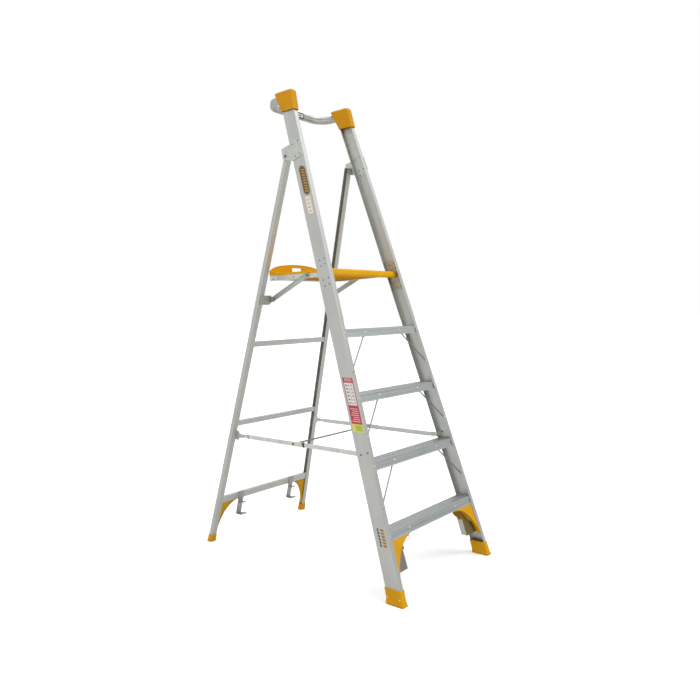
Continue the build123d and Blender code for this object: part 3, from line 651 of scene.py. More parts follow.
P = Part()
P.take(loft([rear_ring(2.6, 1.4, 3.5), rear_ring(2.6, .6, 4), rear_ring(3.6, 0, 4.5), rear_ring(33, 0, 4.2), rear_ring(34, .6, 4), rear_ring(35, .6, 4),
             rear_ring(36, 0, 4), rear_ring(39.2, 0, 4), rear_ring(40, .8, 3.4), rear_ring(40, 2.3, 2.6), rear_ring(39.4, 2.6, 2.4), rear_ring(6, 2.9, 2.4)]), (0, 0, 1), sharp=34)
y = Ry(0) - RS_D - 2.2
while y + 4.0 < Ry(0) + 3.0:
    P.take(box(Rx(0) - 32.4, Rx(0) + 2.2, y, y + 3.4, 0, 3.2, .6), (1, 0, 0))
    y += 5.5
P.take(blind((Rx(20) + 2.9, Ry(20) - 14, 20), (1, 0, .06), 3.2, 1.3), (1, 0, 0), 1, 50)
pair(P, "rear_foot", RF, Y_, [M_YEL2, M_FAST])

# ------------------------------------------------------------------ head caps
CAP_Z0, CAP_Z1 = 2313.0, 2420.8
capx = lambda z: Wx(z) - 34.0


def cap_ring(z, inset=0.0, r=9.0, rise=0.0):
    t = (z - CAP_Z0) / (CAP_Z1 - CAP_Z0)
    y0 = Fy(z) - 6.9 + (-9.5 * min(1.0, t)) + inset
    y1 = (Fy(CAP_Z0) + ST_D + 4.0) * (1 - t) + 203.0 * t - inset
    x0, x1 = capx(z) + inset, capx(z) + 42.5 - inset
    return [(x, y, z) for x, y in rounded([(x0, y0), (x1, y0), (x1, y1), (x0, y1)], r, 7)]


P = Part()
rings = [cap_ring(CAP_Z0, 3.0, 6), cap_ring(CAP_Z0, .7, 8), cap_ring(CAP_Z0 + .8, 0, 9), cap_ring(CAP_Z0 + 8, 0, 9), cap_ring(CAP_Z0 + 50, 0, 9.5), cap_ring(CAP_Z1 - 13, 0, 10)]
for a in (15, 30, 45, 60, 75, 88):
    rings.append(cap_ring(CAP_Z1 - 13 + 13 * math.sin(rad(a)), 13 * (1 - math.cos(rad(a))), 10))
low = [cap_ring(CAP_Z0 + 10, 3.0, 6)]
P.take(loft(low + rings), D_STILE, sharp=40)
P.take(lathe([(0, 0), (3.6, 0), (3.9, .3), (3.3, 1.5), (2.0, 1.9), (1.8, 1.0), (0, 1.0)], (Wx(2330) + 8.3, 151.0, 2329.6), (1, 0, KW), 20), (1, 0, 0), 1, 50)
P.take(lathe([(0, 0), (4.6, 0), (4.9, .3), (4.3, 1.8), (2.4, 2.1), (2.2, 1.0), (0, 1.0)], (capx(2391) + .4, 186.0, 2389.0), (-1, 0, -KW), 20), (1, 0, 0), 1, 50)
pair(P, "head_cap", FF, Y_, [M_CAP, M_DARK])

# ------------------------------------------------------------------ guardrail: bent oval tube with a pressed crease on each side
H, B, R, t_ = 220.0, 287.0, 88.0, 20.0
zc, hh = 2381.0, 21.0
path = [(H, 171.0, zc), (H, 185.0, zc)]
for k in range(0, 25):
    a = math.pi / 2 * k / 24
    path.append((H - R + R * math.cos(a), B - R + R * math.sin(a), zc))
path += [(x, B, zc) for x in (110, 88, 66, 44, 22)]
path = path + [(0, B, zc)] + [(-x, y, z) for x, y, z in path[::-1]]
sec = []
for k in range(40):
    a = 2 * math.pi * k / 40
    c, s = math.cos(a), math.sin(a)
    u = (t_ / 2) * math.copysign(abs(c) ** .80, c)
    v = hh * math.copysign(abs(s) ** .86, s)
    u -= math.copysign(1.5, u) * math.exp(-((v - 2) / 5.0) ** 2) if abs(c) > .3 else 0
    sec.append((u, v))
P = Part().take(sweep(path, sec), (1, 0, 0), sharp=50)
# a plain outlined patch on the inner face
def on_rail(x, z): return (x, 276.92, z)
outer = rounded([(2, 2366), (66, 2366), (66, 2396), (2, 2396)], 7, 6)
inner = rounded([(9, 2372), (59, 2372), (59, 2390), (9, 2390)], 4, 6)
mark = rounded([(20, 2377), (48, 2377), (48, 2385), (20, 2385)], 3, 4)
P.take(slab_y([(x, z) for x, z in outer], 276.2, 276.75, w=.1, seg=1), (1, 0, 0), 1)
P.take(slab_y([(x, z) for x, z in inner], 275.9, 276.5, w=.1, seg=1), (1, 0, 0), 2)
P.take(slab_y([(x, z) for x, z in mark], 275.7, 276.2, w=.1, seg=1), (1, 0, 0), 3)
P.make("v_guardrail", FF, A_, [M_RAIL, F_BLACK, F_PALE, F_GREY], "guardrail")
P = Part()
for q in bolt_head((capx(2381) - .1, 178.0, 2381.0), (-1, 0, -KW), 3.7, 2.9):
    P.take(q, (1, 0, 0))
P.both().make("v_guardrail_bolts", FF, K_, [M_FAST], "guardrail_bolts")

# ------------------------------------------------------------------ hinge plates, head channels, hinge bolts
hp = [(2.0, 2146.0), (37.4, 2162.5), (79.0, 2137.5), (140.0, 2123.0), (124.0, 2066.0), (55.0, 2050.6), (-21.0, 2075.0)]
P = Part().take(web(rounded(hp, [3, 4, 8, 6, 8, 8, 3], 5), 0.02, 3.0, w=.5), (0, KF, 1))
pair(P, "hinge_plate", FF, Z_, [M_ZINC])
P = Part()
hcz = [(Fy(2040) + 7, 2040), (Fy(2040) + 74, 2040), (Fy(2312) + 74, 2312), (Fy(2312) + 7, 2312)]
P.take(web(rounded(hcz, 3, 4), -T_W - 2.4, -T_W, w=.4), D_STILE)
P.both().make("v_head_channels", FF, Z_, [M_ZINC], "head_channels")
P = Part()
P.take(lathe([(0, 0), (4.95, 0), (4.95, 15.7), (0, 15.7)], (241.5, *HINGE), (1, 0, 0), 28), (1, 0, 0))
P.take(lathe([(0, 0), (8.0, 0), (8.4, .4), (8.4, 1.0), (6.4, 1.3), (6.4, 4.0), (5.2, 5.4), (0, 5.7)], (256.8, *HINGE), (1, 0, 0), 28), (1, 0, 0))
P.take(lathe([(0, 0), (7.2, 0), (8.2, 1.0), (8.2, 6.0), (0, 7.0)], (240.6, *HINGE), (1, 0, 0), 6), (1, 0, 0))
P.both().make("v_hinge_bolts", FF, K_, [M_ROD], "hinge_bolts")

# ------------------------------------------------------------------ platform brackets, spreader brackets, pins, rivets
P = Part()
pbz = [(Fy(1404) + 8, 1404), (Fy(1404) + 72, 1404), (Fy(1562) + 72, 1562), (Fy(1562) + 8, 1562)]
P.take(web(rounded(pbz, 4, 5), -T_W - 3.0, -T_W - .02, w=.4), D_STILE)
pair(P, "platform_bracket", FF, Z_, [M_TAN])
P = Part()
P.take(web(rounded([(-481, 610), (-417, 610), (-417, 660), (-465, 660)], 4, 4), -T_W - 3.0, -T_W - .02, w=.4), (0, 1, 0))
P.take(box(307, 346.6, -421, -418, 610, 634, .5), (1, 0, 0))
P.take(slab_x(rounded([(-421, 610), (-385, 610), (-376, 614), (-372.5, 622), (-376, 630), (-385, 634), (-421, 634)], [.6, 3, 4, 4, 4, 3, .6], 4), 307, 310, w=.5), (0, 1, 0))
P.both().make("v_spreader_brackets_front", FF, Z_, [M_BAR], "spreader_brackets_front")
P = Part()
xa = Wx(1482) - T_W - 3.35
P.take(lathe([(0, 0), (4.4, 0), (4.97, .6), (4.97, xa - 263), (0, xa - 263)], (263.0, *PIV_A), (1, 0, 0), 28), (1, 0, 0))
P.take(lathe([(0, 0), (3.96, 0), (3.96, 10.5), (0, 10.5)], (301.0, *SP_F), (1, 0, 0), 24), (1, 0, 0))
P.take(lathe([(0, 0), (6.5, 0), (6.2, 1.6), (4.6, 2.6), (0, 2.75)], (310.05, *SP_F), (1, 0, 0), 24), (1, 0, 0))
P.take(lathe([(0, 3.1), (6.5, 3.1), (6.2, 1.4), (4.4, .2), (0, 0)], (299.6, *SP_F), (1, 0, 0), 24), (1, 0, 0))
P.both().make("v_pivot_pins_front", FF, K_, [M_FAST], "pivot_pins_front")
P = Part()
for y, z in ((-171, 1549), (-142, 1539), (-178, 1522), (-152.5, 1512), (-203, 1454), (-171, 1443.6), (-210, 1423), (-182, 1414)):
    P.take(blind((Wx(z), y, z), N_WEB, 3.8, 1.8), sharp=50)
    P.take(blind((Wx(z) - T_W - 3.0, y, z), N_IWEB, 3.8, 1.8), sharp=50, mat=1)
for y, z in ((24, 2147.5), (60, 2135), (6, 2081), (34.7, 2071)):
    P.take(blind((Wx(z) + 3.0, y, z), N_WEB, 3.8, 1.8), sharp=50)
    P.take(blind((Wx(z) - T_W - 2.4, y, z), N_IWEB, 3.8, 1.8), sharp=50, mat=1)
P.take(blind((Wx(2046) - T_W - 2.45, 30, 2046), N_IWEB, 3.8, 1.8), sharp=50, mat=1)
for y, z in ((-427.8, 633.2), (-465.4, 645.7)):
    P.take(rivet((Wx(z), y, z), N_WEB, 5.0, 2.6), sharp=50)
    P.take(rivet((Wx(z) - T_W - 3.0, y, z), N_IWEB, 5.0, 3.0), sharp=50)
P.both().make("v_plate_rivets", FF, K_, [M_DARK, M_DARK], "plate_rivets")


# ------------------------------------------------------------------ label films on the left web, plain shapes only
def patch(part, d0, d1, z0, z1, r, layer, mat, slant=0.0):
    o = rounded([(d0, z0), (d1, z0), (d1, z1), (d0, z1)], r, 5)
    pts = [(Fy(z) + d + slant * (z - z0), z) for d, z in o]
    part.take(web(pts, .0 + layer * .12, .22 + layer * .12, w=0), D_STILE, mat)


P = Part()
patch(P, 13, 55, 1869, 2018, 20, 0, 0)
patch(P, 16.5, 51.5, 1873, 2014, 17, 1, 1)
patch(P, 18.5, 49.5, 1875.5, 2011.5, 15, 2, 6)
for k in range(9):
    z = 1882 + k * 13.6
    q = [(Fy(z) + 23, z), (Fy(z) + 45, z + 3), (Fy(z) + 45, z + 11), (Fy(z) + 23, z + 8)]
    P.take(web(rounded(q, 1.5, 3), .38, .62, w=0), D_STILE, 1)
patch(P, 14, 60, 1767, 1866, 10, 0, 3)
patch(P, 20, 54, 1773, 1860, 6, 1, 4)
for k in range(4):
    patch(P, 27, 47, 1782 + k * 19, 1790 + k * 19, 3, 2, 5)
P = P.mirror()
P.make("v_label_upper", FF, "label_film", [F_BLACK, F_GOLD, F_BLACK, F_TAN, F_PALE, F_TAN, F_BROWN], "label_upper")
P = Part()
patch(P, 6, 68, 735, 982, 3, 0, 0)
patch(P, 11, 63, 856, 958, 2, 1, 1)
patch(P, 36.4, 38.2, 858, 956, .4, 2, 0)
for k in range(6):
    z = 862 + k * 16
    patch(P, 44, 58, z, z + 8, 2, 2, 2)
    patch(P, 16, 32, z + 1, z + 4, 1, 2, 2)
    patch(P, 16, 28, z + 6, z + 9, 1, 2, 2)
for k in range(3):
    patch(P, 14, 58, 966 + k * 5, 967.6 + k * 5, .4, 1, 3)
for k in range(7):
    patch(P, 14, 60 - (k % 3) * 6, 782 + k * 9.5, 784.2 + k * 9.5, .6, 1, 3)
patch(P, 6, 68, 735, 771, 3, 1, 4)
patch(P, 12, 50, 740, 766, 2, 2, 5)
P = P.mirror()
P.make("v_label_middle", FF, "label_film", [F_RED, F_PALE, F_GREY, F_PALE, F_YELLOW, F_GREEN], "label_middle")
P = Part()
for k in range(6):
    z = 240 + k * 13.4
    q = [(Fy(z) + 20, z), (Fy(z) + 41, z + 2), (Fy(z) + 41, z + 12), (Fy(z) + 20, z + 10)]
    P.take(web(rounded(q, 4.0, 4), .0, .2, w=0), D_STILE, 0)
    q = [(Fy(z) + 26, z + 4), (Fy(z) + 36, z + 5), (Fy(z) + 36, z + 8), (Fy(z) + 26, z + 7)]
    P.take(web(rounded(q, 1.2, 3), .1, .34, w=0), D_STILE, 1)
for k in range(6):
    patch(P, 48, 57, 240 + k * 13.4, 250.6 + k * 13.4, 1.5, 0, 1)
P = P.mirror()
P.make("v_label_lower", FF, "label_film", [F_GOLD, F_BLACK], "label_lower")


# ------------------------------------------------------------------ rear frame
def rear_profile(z):
    r, y = Rx(z), Ry(z)
    raw = [(r, y), (r, y - RS_D), (r - RS_F, y - RS_D), (r - RS_F, y - RS_D + T_R), (r - T_R, y - RS_D + T_R), (r - T_R, y - T_R), (r - RS_F, y - T_R), (r - RS_F, y)]
    return rounded(raw, [1.6, 1.6, .9, .9, 1.3, 1.3, .9, .9], 4)


def keep_inside(bm, centre, r, zlim):
    """Round the stile's top end about the hinge axis by pulling points outside the circle onto it."""
    for v in bm.verts:
        dy, dz = v.co.y - centre[0], v.co.z - centre[1]
        if v.co.z > zlim:
            d = math.hypot(dy, dz)
            if d > r:
                v.co.y, v.co.z = centre[0] + dy * r / d, centre[1] + dz * r / d
    return bm


zs = [5.0, 2076.0] + [2076.0 + k * 2.3 for k in range(1, 11)]
bm = loft([[(x, y, z) for x, y in rear_profile(z)] for z in zs])
bm = keep_inside(bm, HINGE, 17.3, 2079.0)
P = Part().take(bm, D_REAR, sharp=32)
pair(P, "rear_stile", RF, A_, [M_REAR])

for name, za, zb_ in (("top", 1108, 1137), ("middle", 671, 700), ("bottom", 222, 260)):
    # level channel section leaning with the rear plane, open to the rear
    yy = lambda z, o: Ry(z) + o
    C = [(-25.2, za), (-2.6, za), (-2.6, za + 2.4), (-22.8, za + 2.4), (-22.8, zb_ - 2.4), (-2.6, zb_ - 2.4), (-2.6, zb_), (-25.2, zb_)]
    prof = rounded([(yy(z, o), z) for o, z in C], [1.5, .8, .8, 1.0, 1.0, .8, .8, 1.5], 4)
    X = lambda z: Rx(z) - T_R - .15
    bm = loft([[(-X(z), y, z) for y, z in prof], [(X(z), y, z) for y, z in prof]])
    Part().take(bm, (1, 0, 0), sharp=32).make(f"v_rear_rung_{name}", RF, A_, [M_STILE], f"rear_rung_{name}")

ri = lambda z: Rx(z) - T_R - .3
crv = curve((ri(221) - 138, 221.6), (ri(150) - 42, 196), (ri(46) - 28, 46.0), 19)
c2 = curve((ri(221) - 131, 221.6), (ri(150) - 38, 201), (ri(46) - 25, 46.0), 19)
P = Part().take(rear(crv + [(ri(46), 46.0), (ri(221.6), 221.6)], -20.0, -16.0, w=.9), (1, 0, -1))
P.take(rear(crv + c2[::-1], -24.0, -6.0, w=.7), (1, 0, -1))
P.take(rear([(ri(216) - 3, 221.2), (ri(221) - .2, 221.2), (ri(50) - .2, 50), (ri(50) - 3, 50)], -23.4, -6.5, w=.7), (0, 0, 1))
P.take(rear([(ri(221) - 128, 221.4), (ri(221), 221.4), (ri(218), 218.4), (ri(218) - 122, 218.4)], -23.4, -6.5, w=.7), (1, 0, 0))
P.take(rear([(ri(218) - 60, 219), (ri(218) - 57.6, 219), (ri(160) - 27.6, 160), (ri(160) - 30, 160)], -20.5, -9, w=.4), (1, 0, -1))
pair(P, "rear_gusset", RF, Y_, [M_YEL])

# hooks on the bottom rung: one folded strip with two prongs
P = Part()
P.take(rear(rounded([(182, 219), (224, 219), (224, 262.8), (182, 262.8)], 2.5, 4), -28.0, -25.3, w=.5), (0, 0, 1))
P.take(rear([(182, 260.2), (224, 260.2), (224, 262.8), (182, 262.8)], -28.0, -9.0, w=.6), (1, 0, 0))
P.take(rear([(184, 128), (222, 128), (222, 222), (184, 222)], -28.0, -25.3, w=.5), (0, 0, 1))
ylo, yup = Ry(128) - 28.0, Ry(196) - 28.0
for y0_, z0_, L_, hgt in ((ylo, 128.0, 46.0, 12.0), (yup, 196.0, 30.0, 9.0)):
    pr = [(y0_ + 1.6, z0_), (y0_ - L_, z0_), (y0_ - L_, z0_ + hgt), (y0_ - L_ + 2.8, z0_ + hgt), (y0_ - L_ + 2.8, z0_ + 2.8), (y0_ + 1.6, z0_ + 2.8)]
    P.take(slab_x(rounded(pr, [.5, 2.8, 1.0, 1.0, 1.2, .5], 4), 184, 222, w=.4), (0, 1, 0))
pair(P, "latch_hook", RF, Z_, [M_HOOK])

y0s = lambda z: Ry(z) - RS_D
P = Part()
P.take(rear(rounded([(215, 1338), (221, 1333), (292, 1333), (292, 1382), (221, 1382), (215, 1377)], [3, 3, 4, 4, 3, 3], 4), -RS_D - 3.1, -RS_D - .1, w=.5), (1, 0, 0))
P.take(slab_x(rounded([(y0s(1342) - 1.5, 1342), (278, 1347.5), (268, 1350), (263.5, 1357), (263.5, 1366), (268, 1372), (278, 1375.5), (y0s(1375) - 1.5, 1377)],
                      [.8, 4, 4, 4, 4, 4, 4, .8], 4), 215, 218, w=.5), (0, 1, 0))
pair(P, "strut_bracket", RF, Z_, [M_STRUTB])
P = Part()
P.take(rear(rounded([(312.6, 594), (340, 594), (340, 646), (312.6, 646)], [1, 4, 4, 1], 4), -RS_D - 2.9, -RS_D - .1, w=.5), (1, 0, 0))
P.take(slab_x(rounded([(y0s(595) - 1.5, 595), (468, 595), (461, 608), (438, 608), (430, 611.5), (427, 619), (430, 626.5), (438, 630), (459, 631), (464, 645), (y0s(645) - 1.5, 645)],
                      [.8, 2, 3, 4, 4, 4, 4, 4, 3, 2, .8], 4), 312.6, 315.6, w=.5), (0, 1, 0))
P.both().make("v_spreader_brackets_rear", RF, Z_, [M_ZINC], "spreader_brackets_rear")
P = Part()
P.take(lathe([(0, 0), (3.96, 0), (3.96, 12.5), (0, 12.5)], (206.5, *PIV_C), (1, 0, 0), 24), (1, 0, 0))
P.take(lathe([(0, 0), (7.0, 0), (6.7, 2.0), (5.0, 3.2), (0, 3.4)], (218.05, *PIV_C), (1, 0, 0), 24), (1, 0, 0))
P.take(lathe([(0, 3.6), (7.0, 3.6), (6.7, 1.6), (5.0, .3), (0, 0)], (204.6, *PIV_C), (1, 0, 0), 24), (1, 0, 0))
P.take(lathe([(0, 0), (3.96, 0), (3.96, 9.4), (0, 9.4)], (307.2, *SP_R), (1, 0, 0), 24), (1, 0, 0))
P.take(lathe([(0, 0), (6.5, 0), (6.2, 1.7), (4.6, 2.8), (0, 2.95)], (315.65, *SP_R), (1, 0, 0), 24), (1, 0, 0))
P.take(lathe([(0, 2.6), (6.5, 2.6), (6.2, 1.1), (4.4, .1), (0, 0)], (306.6, *SP_R), (1, 0, 0), 24), (1, 0, 0))
P.both().make("v_pivot_pins_rear", RF, K_, [M_FAST], "pivot_pins_rear")
P = Part()
for z in (1122.5, 685.5, 241.0):
    for o in (-7.5, -20.0):
        P.take(blind((Rx(z), Ry(z) + o, z), N_REAR_WEB, 3.6, 1.8), sharp=50)
for z, x in ((1347, 280), (1369, 280), (607, 332), (633, 332)):
    P.take(blind((x, Ry(z) - RS_D - (3.1 if z > 1000 else 2.9), z), (0, -1, -KR), 3.8, 1.9), sharp=50)
P.both().make("v_rear_rivets", RF, K_, [M_FAST], "rear_rivets")

# ------------------------------------------------------------------ platform deck: ribbed moulding
D0 = -184.0
P = Part()
plan = [(281, D0 + 3), (281, -142), (262, -142), (259, -138), (DECK_HALF + 6, -108), (DECK_HALF, -98), (DECK_HALF, DECK_REAR), (-DECK_HALF, DECK_REAR),
        (-DECK_HALF, -98), (-DECK_HALF - 6, -108), (-259, -138), (-262, -142), (-281, -142), (-281, D0 + 3)]
P.take(slab_z(rounded(plan, [1.5, 1.5, 1.5, 4, 12, 8, 2, 2, 8, 12, 4, 1.5, 1.5, 1.5], 4), DECK_Z - 4.5, DECK_Z, w=1.0, seg=3), (1, 0, 0))
nose = [(D0 + 6, DECK_Z - .02), (D0, DECK_Z - 6), (D0, 1476), (D0 + 6, 1469), (-172, 1468), (-172, 1472.5), (D0 + 8.5, 1473.5), (D0 + 4.5, 1478), (D0 + 4.5, DECK_Z - 4.6), (-150, DECK_Z - 4.6), (-150, DECK_Z - .02)]
P.take(slab_x(rounded(nose, [6, 6, 6, 6, 1.5, 1.5, 3, 3, 2, 1, 1], 5), -281, 281, w=0), (1, 0, 0), sharp=34)
P.take(slab_x(rounded([(-147, DECK_Z - 4), (-147, 1471), (-145, 1469.5), (-142, 1469.5), (-142, DECK_Z - 4)], [1, 1, 1, 1, 1], 3), -262, 262, w=0), (1, 0, 0))
for s in (-1, 1):
    e = rounded([(D0 + 1, DECK_Z - 5), (D0 + 1, 1476), (D0 + 7, 1469.5), (-160, 1468.5), (-142.5, 1470.5), (-142.5, DECK_Z - 2), (D0 + 6, DECK_Z - 1.2)], [3, 5, 4, 3, 2, 2, 4], 4)
    P.take(slab_x(e, s * 255, s * 280.6, w=1.2, seg=3), (1, 0, 0))
    P.take(slab_y(rounded([(s * 200.5, 1488.2), (s * 204.9, 1488.2), (s * 204.9, 1499.5), (s * 200.5, 1499.5)], .8, 3), -100, DECK_REAR - .5, w=0), (0, 1, 0))
    dg = [(s * 258.5, -140.5), (s * 209, -107), (s * 204.9, -98), (s * 200.6, -98), (s * 205, -110), (s * 255, -144)]
    P.take(slab_z(dg, 1488.2, 1499.5, w=.6), (1, 1, 0))
P.take(box(-DECK_HALF + .2, DECK_HALF - .2, DECK_REAR - 6, DECK_REAR - .1, 1488.2, 1499.5, .8), (1, 0, 0))
for x in (-200, -100, 0, 100, 200):
    P.take(box(x - 1.5, x + 1.5, D0 + 4, -146, 1472.5, DECK_Z - 4, .3, 1), (0, 1, 0))
for x in (-150, -75, 0, 75, 150):
    P.take(box(x - 1.5, x + 1.5, -143, DECK_REAR - 3, 1474, DECK_Z - 4, .4, 1), (0, 1, 0))
for s in (-1, 1):            # a long rib beside each rail, deeper towards the rear
    P.take(slab_x([(-143, 1470.5), (120, 1465.5), (258, 1465.5), (258, DECK_Z - 4), (-143, DECK_Z - 4)], s * 185.6, s * 188.6, w=.4), (0, 1, 0))
for y in (-60, 20, 100, 180, 296):
    P.take(box(-187, 187, y - 1.5, y + 1.5, 1474.2, DECK_Z - 4, .4, 1), (1, 0, 0))
# grip pattern: staggered raised bars with rounded ends
for k in range(23):
    y = -168 + k * 20.0
    h = 268 if y < -140 else 192
    step = 48.0
    x = -h + (0 if k % 2 else step / 2)
    while x < h - 8:
        x1 = min(x + step - 10, h)
        if x1 - x > 12:
            o = rounded([(x, y - 3), (x1, y - 3), (x1, y + 3), (x, y + 3)], 2.9, 4)
            P.take(loft([[(a, b, DECK_Z - .3) for a, b in o], [(a, b, DECK_Z + .8) for a, b in o],
                         [(a + (.5 if a < (x + x1) / 2 else -.5), b + (.5 if b < y else -.5), DECK_Z + 1.38) for a, b in o]]), (1, 0, 0), sharp=40)
        x += step
# kick board: arched, with a rolled rim and a rimmed hand hole
arch_r = [(DECK_HALF, 1489), (DECK_HALF, 1516), (180, 1531), (150, 1540), (120, 1546), (60, 1552), (0, 1554)]
arch = arch_r + [(-x, z) for x, z in arch_r[:-1][::-1]]
arch = rounded(arch, [1, 6] + [40] * 9 + [6, 1], 4)
hole_c = (0.0, 1525.0)
hole = rounded([(39, 1514), (39, 1536), (-39, 1536), (-39, 1514)], 8, 6)


def ray_hit(poly, c, a):
    best = None
    dx, dz = math.cos(a), math.sin(a)
    for i in range(len(poly)):
        (x0, z0), (x1, z1) = poly[i], poly[(i + 1) % len(poly)]
        ex, ez = x1 - x0, z1 - z0
        den = dx * ez - dz * ex
        if abs(den) < 1e-9:
            continue
        t = ((x0 - c[0]) * ez - (z0 - c[1]) * ex) / den
        u = ((x0 - c[0]) * dz - (z0 - c[1]) * dx) / den
        if t > 1e-6 and -1e-6 <= u <= 1 + 1e-6 and (best is None or t < best):
            best = t
    return (c[0] + dx * best, c[1] + dz * best)


angs = sorted({round(math.atan2(z - hole_c[1], x - hole_c[0]), 6) for x, z in arch + hole} | {round(-math.pi + 2 * math.pi * k / 96, 6) for k in range(96)})
angs = [a for i, a in enumerate(angs) if i == 0 or a - angs[i - 1] > .004]
O = [ray_hit(arch, hole_c, a) for a in angs]
I = [ray_hit(hole, hole_c, a) for a in angs]


def plate_with_hole(outer, inner, y0, y1):
    bm = bmesh.new()
    n = len(outer)
    L = [[bm.verts.new((x, y, z)) for x, z in ring] for ring, y in ((outer, y0), (inner, y0), (inner, y1), (outer, y1))]
    for a, b in ((0, 1), (1, 2), (2, 3), (3, 0)):
        for i in range(n):
            j = (i + 1) % n
            bm.faces.new([L[a][i], L[a][j], L[b][j], L[b][i]])
    return bm


P.take(plate_with_hole(O, I, DECK_REAR - 4.6, DECK_REAR - 1.0), (1, 0, 0), sharp=32)


def shrink(ring, c, k):
    out = []
    for x, z in ring:
        d = math.hypot(x - c[0], z - c[1])
        out.append((x - (x - c[0]) / d * k, z - (z - c[1]) / d * k))
    return out


P.take(plate_with_hole(O, shrink(O, hole_c, 3.2), DECK_REAR - 6.0, DECK_REAR), (1, 0, 0), sharp=32)
P.take(plate_with_hole(shrink(I, hole_c, -3.0), I, DECK_REAR - 6.0, DECK_REAR), (1, 0, 0), sharp=32)
for s in (-1, 1):
    r_ = rounded([(228, DECK_Z - 1), (DECK_REAR - 1, DECK_Z - 1), (DECK_REAR - 1, 1515.5), (285, 1513), (262, 1507)], [1, 1, 4, 8, 8], 4)
    P.take(slab_x(r_, s * (DECK_HALF - 5), s * (DECK_HALF - .1), w=1.0), (0, 1, 0))
P.make("v_platform_deck", PL, Y_, [M_DECK], "platform_deck")

# ------------------------------------------------------------------ platform rails, cross rail, rivets
z1 = DECK_Z - DECK_T - .1

def rail_ring(y):
    zb_ = 1461.0 + 9.5 * max(0.0, min(1.0, (120.0 - y) / 262.0))
    C = [(206, zb_), (206, z1), (190, z1), (190, z1 - 2.5), (203.5, z1 - 2.5), (203.5, zb_ + 2.5), (190, zb_ + 2.5), (190, zb_)]
    return [(x, y, z) for x, z in rounded(C, [1.4, 1.4, .8, .8, 1, 1, .8, .8], 4)]


P = Part().take(loft([rail_ring(y) for y in (-141.8, -98, -54, -10, 33, 76, 120, 210, 301)]), (0, 1, 0), sharp=32)
pair(P, "platform_rail", PL, A_, [M_BAR])
C = rounded([(262, 1463.7), (288, 1463.7), (288, 1473.8), (262, 1473.8)], 1.4, 4)
Part().take(slab_x(C, -203.3, 203.3, w=0), (1, 0, 0)).make("v_platform_cross_rail", PL, A_, [M_BAR], "platform_cross_rail")
P = Part()
P.take(lathe([(0, 0), (6.0, 0), (6.0, 2.15), (0, 2.15)], (206.0, *PIV_B), (1, 0, 0), 28), (1, 0, 0))
for y, z in ((-110, 1478.5), (120, 1474), (275, 1468.7)):
    P.take(blind((206.0, y, z), (1, 0, 0), 3.6, 1.6), sharp=50)
P.both().make("v_platform_rivets", PL, K_, [M_DARK], "platform_rivets")


# ------------------------------------------------------------------ folded-edge bars: struts and spreaders
def folded_bar(p, q, wd, x_web, x_lip, th, tail=0.0, s0=20.0, s1=18.0, neck=0.0):
    """A strip with both long edges turned over: web at x_web, lips reaching to x_lip.

    The strip is one shell: its section runs flat at the ends and grows its lips along the middle."""
    sgn = 1 if x_lip > x_web else -1
    L = math.hypot(q[0] - p[0], q[1] - p[1]) + tail
    dirv = (0, (q[0] - p[0]), (q[1] - p[1]))
    h0, dl = wd / 2, abs(x_lip - x_web)

    def ring(s, h, d):
        # U section in (t, depth) with small outer corners; d is the lip depth here
        r = min(1.0, h * .3)
        sec_ = [(-h, r), (-h + r * .3, r * .3), (-h + r, 0), (h - r, 0), (h - r * .3, r * .3), (h, r),
                (h, d), (h - th, d), (h - th, th + .35), (h - th - .35, th), (-h + th + .35, th), (-h + th, th + .35), (-h + th, d), (-h, d)]
        out = []
        for t, a in sec_:
            y, z = along(p, q, [(s, t)])[0]
            out.append((x_web + sgn * a, y, z))
        return out
    flat = th + .4
    stations = []
    hn = h0 - neck
    for k in range(0, 8):                      # rounded end at p
        a = math.pi / 2 * k / 7
        stations.append((-hn * math.cos(a) * .999, max(hn * math.sin(a), 3.2), flat))
    stations += [(s0 - 5, hn, flat), (s0, h0, dl * .8), (s0 + 5, h0, dl)]
    stations += [(s0 + (L - s1 - s0) * k / 6, h0, dl) for k in range(1, 6)]
    stations += [(L - s1 - 5, h0, dl), (L - s1, h0, dl * .8 if tail == 0 else dl)]
    for k in range(7, -1, -1):
        a = math.pi / 2 * k / 7
        stations.append((L + h0 * math.cos(a) * .999, max(h0 * math.sin(a), 3.2), flat if tail == 0 or k < 7 else dl))
    stations = sorted(stations, key=lambda r: r[0])
    return Part().take(loft([ring(*r) for r in stations]), dirv, sharp=34)


P = folded_bar(PIV_C, PIV_B, 26.0, 208.5, 213.5, 2.4, 0, 22, 20)
P.take(lathe([(0, 0), (7.0, 0), (7.0, 1.2), (5.6, 2.5), (0, 2.7)], (210.9, *PIV_B), (1, 0, 0), 24), (1, 0, 0), 1, 50)
L_ = P.mirror()
P.make("v_platform_strut_right", "strut_right", Z_, [M_STRUT, M_DARK], "platform_strut_right")
L_.make("v_platform_strut_left", "strut_left", Z_, [M_STRUT, M_DARK], "platform_strut_left")

